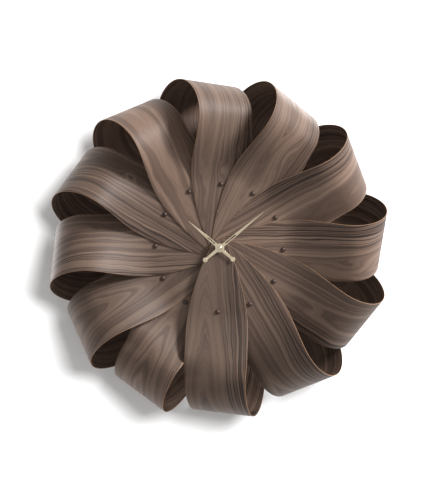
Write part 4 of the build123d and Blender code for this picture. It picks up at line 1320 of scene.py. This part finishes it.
@dataclass
class Petals:
    """The twelve looped ribbons: each its own piece with its own veneer."""

    rule: RibbonRule = field(default_factory=RibbonRule)
    hub_hole: float = 4.9 * MM
    hub_cut: Point = (138 * MM, 165 * MM)
    marker_hole: float = 2.2 * MM
    marker_cut: Point = (138 * MM, 170 * MM)
    screw_hole: float = 1.95 * MM
    screw_cut: Point = (10 * MM, 17 * MM)
    sharp: float = 50.0
    seed_step: float = 1.37

    def veneers(self) -> dict[int, Walnut]:
        """The veneer of each hour, with its own heart, lines and knots, and its brightness, which is
        partly the veneer's own tone and partly painted light and shade.

        Returns:
            The veneers by hour.
        """
        # from 1 o'clock on: heart, depth, taper, lines_from, lines_to, lines, brightness, and knots; the
        # brightness is partly the veneer's own tone and partly painted light and shade, set petal by
        # petal for how the key light falls on it
        rows: list[tuple[Any, ...]] = [
            (-0.012, 0.020, 0.05, 0.025, 0.055, 0.6, 1.05, Knot(0.27, 0.012, 0.050, 0.022, 0.018)),
            (0.030, 0.030, 0.04, -0.010, -0.050, 0.9, 1.15),
            (0.040, 0.020, 0.05, 0.000, -0.030, 0.9, 1.20, Knot(0.31, 0.034, 0.050, 0.014, 0.013)),
            (0.000, 0.020, 0.06, 0.020, 0.050, 0.9, 1.00, Knot(0.24, 0.004, 0.034, 0.009, 0.011)),
            (0.045, 0.020, 0.04, -0.010, -0.040, 0.9, 0.85),
            (0.025, 0.020, 0.09, 0.000, -0.040, 0.8, 0.75),
            (0.000, 0.015, 0.12, 0.050, 0.090, 0.4, 0.95),
            (0.006, 0.015, 0.14, 0.050, 0.090, 0.4, 0.78),
            (0.035, 0.020, 0.04, -0.005, -0.045, 1.0, 0.88),
            (0.040, 0.020, 0.05, -0.005, -0.040, 1.0, 0.88, Knot(0.27, 0.030, 0.016, 0.008, 0.016)),
            (-0.020, 0.050, 0.02, 0.030, 0.060, 0.7, 1.22),
            (-0.035, 0.020, 0.05, 0.005, 0.045, 1.0, 0.88, Knot(0.19, 0.000, 0.014, 0.008, 0.014)),
        ]
        return {
            hour: Walnut(f"walnut_{hour:02d}", hour * self.seed_step, *row[:7], knots=row[7:])
            for hour, row in enumerate(rows, 1)
        }

    def cutter(self, hour: int) -> bpy.types.Object:
        """The holes of one petal as one mesh.

        Args:
            hour: which petal.

        Returns:
            Bars for the hub, the marker and the two tail screws.
        """
        form = Form()
        marker = on_circle(hour, self.rule.marker_circle)
        bars = [((0.0, 0.0), self.hub_hole, self.hub_cut), (marker, self.marker_hole, self.marker_cut)]
        bars += [(place, self.screw_hole, self.screw_cut) for place in self.rule.tail_screws(hour)]
        for place, radius, (low, high) in bars:
            form.turned([(0.0, low), (radius, low), (radius, high), (0.0, high)], place, 24)
        return form.object("holes")

    def build(self) -> None:
        """Makes the twelve petals in place of the CAD ones."""
        section = self.rule.section()
        for hour, veneer in self.veneers().items():
            name = f"petal_{hour:02d}"
            inputs = {"Section": section, "Half thickness": self.rule.veneer / 2}
            inputs["Finish"] = veneer.material()
            made = grow(f"walnut_{name}", ribbon_tree(), inputs, self.rule.guide(hour))
            close_up(made.data, self.sharp, 2e-6)
            carve(made, self.cutter(hour))
            made.data.set_sharp_from_angle(angle=math.radians(self.sharp))
            dress(made, veneer)
            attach(made, "frame")
            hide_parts(name)
            LOG.info("%s: %d faces", made.name, len(made.data.polygons))
        drop_object(section)


# ---------------------------------------------------------------- hour markers
@dataclass
class Markers:
    """Twelve dark domes on shanks, one on each petal."""

    rule: RibbonRule
    radius: float = 5.2 * MM
    rim: float = 0.6 * MM
    dome: float = 3.8 * MM
    shank: float = 2.0 * MM
    gap: float = 0.35 * MM
    foot: float = 132.0 * MM
    fillet: float = 0.25 * MM

    def knob(self) -> bpy.types.Object:
        """One marker with its seat at height zero, and a shank that reaches back through the dial.

        Returns:
            The marker.
        """
        low = self.foot - self.rule.seat(self.rule.lowest_hour)
        profile = [(0.0, low), (self.shank - self.fillet, low), (self.shank, low + self.fillet)]
        profile += [(self.shank, 0.0), (self.radius - self.fillet, 0.0), (self.radius, self.fillet)]
        profile += [(self.radius, self.rim)]
        profile += dome_profile(self.radius, self.rim, self.dome, 12)[1:]
        return Form().turned(profile, (0.0, 0.0), 40).object("knob")

    def build(self) -> None:
        """Makes the markers in place of the CAD ones."""
        finish = DarkWood("oiled_dark_wood")
        knob = self.knob()
        inputs = {
            "Piece": knob,
            "Count": PETALS,
            "Radius": self.rule.marker_circle,
            "Height": self.rule.seat(self.rule.lowest_hour) + self.rule.veneer / 2 + self.gap,
            "Step": self.rule.layer,
            "Lowest hour": float(self.rule.lowest_hour),
            "Finish": finish.material(),
        }
        made = grow("marker_domes", dial_circle_tree(), inputs, point_guide([(0, 0, 0)]))
        close_up(made.data, 40.0)
        dress(made, finish)
        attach(made, "frame")
        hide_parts("hour_markers")
        drop_object(knob)
        LOG.info("%s: %d faces", made.name, len(made.data.polygons))


# ---------------------------------------------------------------- hands
def meeting(start: Point, end: Point, centre: Point, radius: float) -> Point:
    """Where a straight edge leaves a circle.

    Args:
        start: the edge's end inside the circle.
        end: its end outside.
        centre: the circle's centre.
        radius: its radius.

    Returns:
        The point on the circle.
    """
    sx, sy = start[0] - centre[0], start[1] - centre[1]
    dx, dy = end[0] - start[0], end[1] - start[1]
    a, b, c = dx * dx + dy * dy, 2 * (sx * dx + sy * dy), sx * sx + sy * sy - radius * radius
    share = (-b + math.sqrt(b * b - 4 * a * c)) / (2 * a)
    return start[0] + share * dx, start[1] + share * dy


def arc_points(centre: Point, radius: float, first: float, last: float, steps: int) -> list[Point]:
    """Points on an arc between two angles in radians, ends included."""
    angles = np.linspace(first, last, steps)
    return [(centre[0] + radius * math.cos(a), centre[1] + radius * math.sin(a)) for a in angles]


@dataclass
class Hand:
    """A slotted brass hand with a round hub and a disc at its tail."""

    node: str
    body: str
    angle: float
    low: float
    reach: float
    tail: float
    slot_from: float
    slot_to: float
    hub: float
    bore: float
    thick: float = 1.0 * MM
    slot_width: float = 2.8 * MM
    root: float = 7.8 * MM
    slot_end: float = 6.6 * MM
    tail_root: float = 8.0 * MM
    tail_tip: float = 5.2 * MM
    disc: float = 5.2 * MM
    edge: float = 0.18 * MM
    tip_half: float = 0.3 * MM
    tip_long: float = 0.8 * MM
    lift: float = 0.22 * MM

    def outline(self) -> list[Point]:
        """The hand's edge, pointing up, clockwise from its tip.

        Returns:
            Its points.
        """
        middle = (0.0, 0.0)
        disc = (0.0, self.disc - self.tail)
        shoulder = (self.slot_end / 2, self.slot_to)
        upper = meeting((self.root / 2, 0.0), shoulder, middle, self.hub)
        tail_edge = ((self.tail_root / 2, 0.0), (self.tail_tip / 2, disc[1]))
        lower = meeting(*tail_edge, middle, self.hub)
        at_disc = meeting(tail_edge[1], tail_edge[0], disc, self.disc)
        right = [(self.tip_half, self.reach - self.tip_long), shoulder]
        ends = [math.atan2(end[1], end[0]) for end in (upper, lower)]
        right += arc_points(middle, self.hub, *ends, 20)
        angle = math.atan2(at_disc[1] - disc[1], at_disc[0])
        right += arc_points(disc, self.disc, angle, -math.pi / 2, 18)
        left = [(-x, y) for x, y in reversed(right[:-1])]
        return [(0.0, self.reach), *right, *left]

    def slot_line(self) -> list[Point]:
        """The rounded slot.

        Returns:
            Its points.
        """
        half = self.slot_width / 2
        top = arc_points((0.0, self.slot_to - half), half, 0.0, math.pi, 9)
        bottom = arc_points((0.0, self.slot_from + half), half, math.pi, 2 * math.pi, 9)
        return top + bottom

    def plate(self) -> bpy.types.Mesh:
        """The flat blade with softened edges.

        Returns:
            A mesh in the blade's own axes.
        """
        curve = bpy.data.curves.new(self.node, "CURVE")
        curve.dimensions = "2D"
        curve.fill_mode = "BOTH"
        curve.extrude = self.thick / 2 - self.edge
        curve.bevel_depth = self.edge
        curve.bevel_resolution = 2
        curve.offset = -self.edge
        bore = arc_points((0.0, 0.0), self.bore, 0.0, 2 * math.pi, 41)[:-1]
        for line in (self.outline(), self.slot_line(), bore):
            spline = curve.splines.new("POLY")
            spline.points.add(len(line) - 1)
            for point, (x, y) in zip(spline.points, line):
                point.co = (x, y, 0.0, 1.0)
            spline.use_cyclic_u = True
        holder = bpy.data.objects.new("holder", curve)
        bpy.context.scene.collection.objects.link(holder)
        mesh = evaluated_mesh(holder)
        bpy.data.objects.remove(holder)
        bpy.data.curves.remove(curve)
        return mesh

    def raised(self) -> Form:
        """The turned rings that stand on the hub and round the dimple of the tail disc.

        Returns:
            The two rings.
        """
        top = self.low + self.thick
        lift = self.lift
        disc = on_circle(self.angle / PITCH + PETALS / 2, self.tail - self.disc)
        form = Form()
        rings = [((0.0, 0.0), self.bore + 0.5 * MM, self.hub - 0.9 * MM)]
        rings += [(disc, 1.0 * MM, self.disc - 0.7 * MM)]
        for centre, inner, outer in rings:
            profile = [
                (inner, top - lift), (outer, top - lift), (outer, top + lift * 0.5),
                (outer - lift, top + lift), (inner + lift * 2, top + lift), (inner, top - lift * 0.2),
            ]
            form.turned(profile, centre, 48, ring=True)
        return form

    def build(self) -> None:
        """Makes the hand in place of the CAD one."""
        name = f"brushed_brass_{self.node}"
        finish = Metal(name, (0.86, 0.74, 0.53), (0.62, 0.48, 0.30), 0.26, Lay.ALONG, self.angle)
        mesh = self.plate()
        axes = dial_axes(self.angle / PITCH)
        rings = self.raised().object("rings")
        work = bmesh.new()
        work.from_mesh(mesh)
        for point in work.verts:
            x, y, z = point.co
            point.co = (np.array([x, y, z + self.low + self.thick / 2]) @ axes).tolist()
        bmesh.ops.remove_doubles(work, verts=work.verts, dist=1e-6)
        bmesh.ops.recalc_face_normals(work, faces=work.faces)
        work.from_mesh(rings.data)
        work.to_mesh(mesh)
        work.free()
        drop_object(rings)
        made = add_object(mesh, f"brass_{self.node}")
        mesh.polygons.foreach_set("use_smooth", [True] * len(mesh.polygons))
        mesh.set_sharp_from_angle(angle=math.radians(32.0))
        dress(made, finish)
        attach(made, self.body)
        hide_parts(self.node)
        LOG.info("%s: %d faces", made.name, len(mesh.polygons))


@dataclass
class Cap:
    """The small domed cap at the hands' middle."""

    radius: float = 4.4 * MM
    rim: float = 1.2 * MM
    dome: float = 2.2 * MM
    stud: float = 1.0 * MM
    stud_tall: float = 2.2 * MM
    groove: float = 0.22 * MM

    def build(self) -> None:
        """Makes the cap in place of the CAD one."""
        low = -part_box("hand_cap")[1].y
        waist = self.radius - self.groove
        profile = [(0.0, low + self.stud_tall), (self.stud, low + self.stud_tall), (self.stud, low)]
        profile += [(self.radius - 0.2 * MM, low), (self.radius, low + 0.2 * MM)]
        profile += [(self.radius, low + 0.5 * MM), (waist, low + 0.65 * MM)]
        profile += [(waist, low + 0.85 * MM), (self.radius, low + self.rim)]
        profile += dome_profile(self.radius, low + self.rim, self.dome, 12)[1:]
        made = Form().turned(profile, (0.0, 0.0), 56).object("brass_hand_cap", 30.0)
        dress(made, Metal("turned_brass_cap", (0.90, 0.80, 0.62), (0.70, 0.56, 0.36), 0.16, Lay.ROUND))
        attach(made, "minute_set")
        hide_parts("hand_cap")
        LOG.info("%s: %d faces", made.name, len(made.data.polygons))


# ---------------------------------------------------------------- screws
def cross_recess(width: float, length: float, low: float, high: float) -> bpy.types.Object:
    """A cross-shaped bar that cuts a driver's recess.

    Args:
        width: the width of its arms.
        length: their length, end to end.
        low: the height where it starts.
        high: the height where it ends.

    Returns:
        The bar.
    """
    a, b = width / 2, length / 2
    outline = [
        (a, a), (b, a), (b, -a), (a, -a), (a, -b), (-a, -b),
        (-a, -a), (-b, -a), (-b, a), (-a, a), (-a, b), (a, b),
    ]
    return Form().prism(outline, low, high).object("recess")


@dataclass
class ScrewSet:
    """Screws of one kind, each at its own dial point, made from one master.

    face is the height of the head's flat or seat; into is -1 where the screw goes towards the wall, or 1.
    """

    node: str
    places: Sequence[Point]
    face: float
    into: int
    shank: float
    head: float
    length: float
    tall: float = 0.0

    def master(self) -> bpy.types.Object:
        """One screw with its head at height zero and a cross recess.

        Returns:
            The screw.
        """
        way = self.into
        if self.tall:
            profile = [(h, -way * z) for h, z in reversed(dome_profile(self.head, 0.0, self.tall, 8))]
            profile += [(self.shank, 0.0)]
        else:
            slope = self.head - self.shank
            profile = [(0.0, 0.0), (self.head - 0.1 * MM, 0.0), (self.head, way * 0.12 * MM)]
            profile += [(self.shank, way * slope)]
        tip = self.shank * 0.8
        profile += [(self.shank, way * (self.length - tip)), (self.shank * 0.35, way * self.length)]
        profile += [(0.0, way * self.length)]
        made = Form().turned(profile, (0.0, 0.0), 28).object("screw", 35.0)
        depth = max(0.9 * MM, self.tall * 0.9)
        ends = sorted((-way * (self.tall + 1.0 * MM), -way * (self.tall - depth)))
        carve(made, cross_recess(self.head * 0.24, self.head * 1.15, *ends))
        return made

    def build(self) -> None:
        """Makes the whole set in place of its CAD node."""
        finish = Metal("blackened_steel_screws", (0.30, 0.30, 0.31), (0.16, 0.15, 0.15), 0.34)
        master = self.master()
        guide = point_guide([(x, -self.face, z) for x, z in self.places])
        inputs = {"Piece": master, "Finish": finish.material()}
        made = grow(f"{self.node}_set", copies_tree(), inputs, guide)
        drop_object(master)
        made.data.set_sharp_from_angle(angle=math.radians(35.0))
        dress(made, finish)
        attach(made, "frame")
        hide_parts(self.node)
        LOG.info("%s: %d faces", made.name, len(made.data.polygons))


@dataclass
class Fixings:
    """All the wood screws and machine screws that show behind the petals."""

    rule: RibbonRule
    dial: float = 141 * MM
    pad: float = 3 * MM
    post_circle: float = 80 * MM
    tail_seat: float = 14.8 * MM
    hanger_half: float = 17 * MM
    hanger_rise: float = 112 * MM
    hanger_seat: float = 0.8 * MM

    def build(self) -> None:
        """Makes the four sets."""
        posts = [on_circle(1 + 2 * post, self.post_circle) for post in range(6)]
        tails = [place for hour in range(1, PETALS + 1) for place in self.rule.tail_screws(hour)]
        hanger = [(side * self.hanger_half, self.hanger_rise) for side in (-1, 1)]
        # node, places, face, into, shank, head, length and, for a domed head, its height
        sets = [
            ("post_front_screws", posts, self.dial, -1, 2.0 * MM, 3.8 * MM, 19 * MM),
            ("post_rear_screws", posts, self.pad, 1, 2.0 * MM, 3.8 * MM, 22 * MM),
            ("tail_screws", tails, self.tail_seat, -1, 1.75 * MM, 3.4 * MM, 9.8 * MM, 2.0 * MM),
            ("hanger_screws", hanger, self.hanger_seat, 1, 1.5 * MM, 2.9 * MM, 7.7 * MM),
        ]
        for facts in sets:
            ScrewSet(*facts).build()


# ---------------------------------------------------------------- movement
@dataclass
class Coil:
    """The motor's winding: turns of wire side by side over a plain core."""

    wire: float = 0.11 * MM

    def build(self) -> None:
        """Makes the winding in place of the CAD one."""
        finish = Winding("enamelled_wire")
        low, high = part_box("coil_winding")
        middle = (low + high) / 2
        radius = (high.y - low.y) / 2
        length = high.x - low.x
        inputs = {
            "Start": (low.x + self.wire, middle.y, middle.z),
            "Length": length - 2 * self.wire,
            "Turns": int(length / (2.1 * self.wire)),
            "Radius": radius,
            "Wire radius": self.wire,
            "Finish": finish.material(),
        }
        made = grow("copper_coil_winding", coil_tree(), inputs, point_guide([(0, 0, 0)]))
        close_up(made.data, 60.0)
        dress(made, finish)
        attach(made, "frame")
        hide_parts("coil_winding")
        LOG.info("%s: %d faces", made.name, len(made.data.polygons))


class CarriedOver:
    """The CAD pieces whose shape is right, each with its own finish."""

    def finishes(self) -> dict[str, Finish]:
        """The finish of each carried-over node.

        Returns:
            The finishes by node.
        """
        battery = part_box("battery")[0].x
        brass = Metal("machined_brass", (0.78, 0.60, 0.34), (0.50, 0.36, 0.18), 0.30, Lay.ROUND)
        steel = Metal("plated_steel", (0.58, 0.58, 0.60), (0.40, 0.39, 0.38), 0.32)
        lamination = Metal(
            "silicon_steel", (0.42, 0.42, 0.44), (0.26, 0.26, 0.27), 0.42, Lay.ALONG, 90.0
        )
        gears = Moulded("natural_acetal", (0.72, 0.70, 0.64), 0.36)
        case = Moulded("black_case_plastic", (0.018, 0.018, 0.019), 0.48, 0.00008)
        stained = Plywood("stained_ply_disc", 1.2 * MM, (0.16, 0.10, 0.065), (0.07, 0.043, 0.028))
        turned = Metal("turned_aluminium", (0.74, 0.75, 0.77), (0.6, 0.6, 0.61), 0.28, Lay.ROUND)
        drawn = Metal("drawn_aluminium", (0.70, 0.71, 0.73), (0.56, 0.56, 0.57), 0.32, Lay.ROUND)
        magnet = Metal("sintered_magnet", (0.20, 0.20, 0.21), (0.12, 0.12, 0.12), 0.45, Lay.ROUND)
        can = Metal("drawn_can", (0.66, 0.66, 0.68), (0.5, 0.5, 0.5), 0.24, Lay.ROUND)
        found: dict[str, Finish] = {
            "front_disc": stained,
            "rear_ring": Plywood("birch_ply_ring"),
            "wall_pad": Felt("wool_felt"),
            "spacer_posts": turned,
            "marker_spacers": drawn,
            "rubber_washer": Moulded("black_rubber", (0.012, 0.012, 0.012), 0.72, 0.00010),
            "circuit_board": Board("green_board"),
            "controller_chip": Moulded("chip_resin", (0.010, 0.010, 0.011), 0.52, 0.00006),
            "battery": Jacket("battery_sleeve", battery),
            "setting_knob": Moulded("red_knob_plastic", (0.42, 0.035, 0.025), 0.38),
            "rotor": magnet,
            "quartz_crystal": can,
        }
        shared = {
            lamination: "stator coil_core",
            brass: "mounting_bush hub_washer hub_nut marker_nuts minute_arbor hour_wheel",
            steel: "hanger_plate tail_washers bridge_screws positive_contact negative_contact",
            gears: "motion_wheel centre_wheel third_wheel seconds_wheel reducer_wheel train_bridge "
                   "coil_bobbin",
            case: "movement_front_case movement_rear_case",
        }
        found.update({node: finish for finish, nodes in shared.items() for node in nodes.split()})
        return found

    def build(self, nodes: dict[str, bpy.types.Object]) -> None:
        """Dresses the nodes.

        Args:
            nodes: the frame's CAD nodes by name.
        """
        for name, finish in self.finishes().items():
            dress(nodes[name], finish)
        LOG.info("carried over: %d nodes", len(self.finishes()))


# ---------------------------------------------------------------- studio
class Reach(Enum):
    """What a light falls on, by whether the wall is left out of it, let in alone, or neither."""

    ALL = ""
    CLOCK = "EXCLUDE"
    WALL = "INCLUDE"


@dataclass
class Studio:
    """A white wall, soft light from the upper right, and a long-lens camera a little to the left."""

    view_height: float = 1.0425
    centre_drop: float = 17.2 * MM
    centre_shift: float = -1.6 * MM
    dial_height: float = 150 * MM
    bearing: float = 3.5
    roll: float = 1.65
    lens: float = 200.0
    sensor: float = 36.0
    sky: float = 0.60
    wall_half: float = 6.0
    wall_back: float = 0.6 * MM

    def wall(self) -> bpy.types.Object:
        """The wall: solid from the front, clear from behind and to light that comes from behind.

        Returns:
            The wall, which isn't part of the clock.
        """
        mesh = bpy.data.meshes.new("wall")
        corners = [(-1, -1), (1, -1), (1, 1), (-1, 1)]
        points = [(x * self.wall_half, self.wall_back, z * self.wall_half) for x, z in corners]
        mesh.from_pydata(points, [], [(0, 1, 2, 3)])
        made = add_object(mesh, "wall")
        material = bpy.data.materials.new("white_wall")
        material.use_nodes = True
        material.node_tree.nodes.clear()
        graph = Graph(material.node_tree)
        grain = graph.noise(graph.scaled(graph.object_place(), 240.0), 2.0)
        white = graph.scaled((0.86, 0.86, 0.86), 0.99 + grain * 0.02)
        values = {"Base Color": white, "Roughness": 0.9, "Specular IOR Level": 0.1}
        paint = graph.node("ShaderNodeBsdfPrincipled", None, values)
        behind = graph.node("ShaderNodeNewGeometry", None, None, "Backfacing")
        shadow = graph.node("ShaderNodeLightPath", None, None, "Is Shadow Ray")
        clear = graph.math("MAXIMUM", behind, shadow)
        glass = graph.node("ShaderNodeBsdfTransparent")
        seen = graph.node("ShaderNodeMixShader", None, {0: clear, 1: paint, 2: glass})
        graph.node("ShaderNodeOutputMaterial", None, {"Surface": seen})
        mesh.materials.append(material)
        return made

    def lamp(
        self,
        name: str,
        place: Sequence[float],
        size: float,
        power: float,
        reach: Reach,
        wall: bpy.types.Object,
    ) -> None:
        """A round soft light that faces the clock.

        Args:
            name: the light's name.
            place: where it stands.
            size: its width.
            power: its power in watts.
            reach: what it lights.
            wall: the wall.
        """
        light = bpy.data.lights.new(name, "AREA")
        light.shape = "DISK"
        light.size = size
        light.energy = power
        made = bpy.data.objects.new(name, light)
        made.location = place
        aim = Vector((0.0, -0.1, 0.0)) - Vector(place)
        made.rotation_euler = aim.to_track_quat("-Z", "Y").to_euler()
        bpy.context.scene.collection.objects.link(made)
        if reach is not Reach.ALL:
            lit = bpy.data.collections.new(f"{name}_reach")
            lit.objects.link(wall)
            lit.collection_objects[0].light_linking.link_state = reach.value
            made.light_linking.receiver_collection = lit

    def lights(self, wall: bpy.types.Object) -> None:
        """The key at the upper right, a wash for the wall, two behind for the back, and an even sky.

        Args:
            wall: the wall, which the key leaves out and the wash alone reaches.
        """
        self.lamp("key", (3.05, -1.85, 2.30), 1.2, 290.0, Reach.CLOCK, wall)
        self.lamp("wash", (1.5, -4.4, 1.2), 2.4, 400.0, Reach.WALL, wall)
        self.lamp("back_right", (1.6, 2.4, 1.6), 1.4, 60.0, Reach.ALL, wall)
        self.lamp("back_left", (-2.0, 2.4, 0.4), 1.4, 35.0, Reach.ALL, wall)
        world = bpy.data.worlds.new("even_sky")
        world.use_nodes = True
        world.node_tree.nodes.clear()
        graph = Graph(world.node_tree)
        sky = graph.node("ShaderNodeBackground", None, {"Color": (1.0, 1.0, 1.0), "Strength": self.sky})
        graph.node("ShaderNodeOutputWorld", None, {"Surface": sky})
        bpy.context.scene.world = world

    def camera(self) -> None:
        """The camera, level, turned round the clock and rolled with it."""
        data = bpy.data.cameras.new("camera")
        data.lens = self.lens
        data.sensor_width = self.sensor
        data.clip_end = 100.0
        made = bpy.data.objects.new("camera", data)
        bpy.context.scene.collection.objects.link(made)
        distance = self.view_height * self.lens / self.sensor
        turn, roll = math.radians(self.bearing), math.radians(self.roll)
        right = Vector((math.cos(turn), -math.sin(turn), 0.0))
        up = Vector((0.0, 0.0, 1.0))
        back = Vector((-math.sin(turn), -math.cos(turn), 0.0))
        rolled_right = right * math.cos(roll) + up * math.sin(roll)
        rolled_up = up * math.cos(roll) - right * math.sin(roll)
        target = Vector((0.0, -self.dial_height, 0.0))
        target += rolled_up * self.centre_drop + rolled_right * self.centre_shift
        place = target + back * distance
        matrix = made.matrix_world.copy()
        for column, axis in enumerate((rolled_right, rolled_up, back, place)):
            matrix.col[column][:3] = axis
        made.matrix_world = matrix
        bpy.context.scene.camera = made

    def build(self) -> None:
        """Sets up the wall, the lights, the camera and plain display colours."""
        self.lights(self.wall())
        self.camera()
        bpy.context.scene.view_settings.view_transform = "Standard"
        LOG.info("studio ready")


def main() -> None:
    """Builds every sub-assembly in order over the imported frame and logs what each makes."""
    logging.basicConfig(level=logging.INFO, format="%(name)s: %(message)s")
    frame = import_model()
    petals = Petals()
    petals.build()
    Markers(petals.rule).build()
    for hand in (
        Hand("hour_hand", "hour_set", angle=309.0, low=-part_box("hour_hand")[1].y, reach=89.3 * MM,
             tail=43.0 * MM, slot_from=13.6 * MM, slot_to=34.8 * MM, hub=9.8 * MM, bore=3.0 * MM),
        Hand("minute_hand", "minute_set", angle=49.0, low=-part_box("minute_hand")[1].y, reach=124.4 * MM,
             tail=45.9 * MM, slot_from=15.8 * MM, slot_to=44.6 * MM, hub=8.4 * MM, bore=1.5 * MM),
    ):
        hand.build()
    Cap().build()
    Fixings(petals.rule).build()
    Coil().build()
    CarriedOver().build(frame["nodes"])
    Studio().build()


if __name__ == "__main__":
    main()
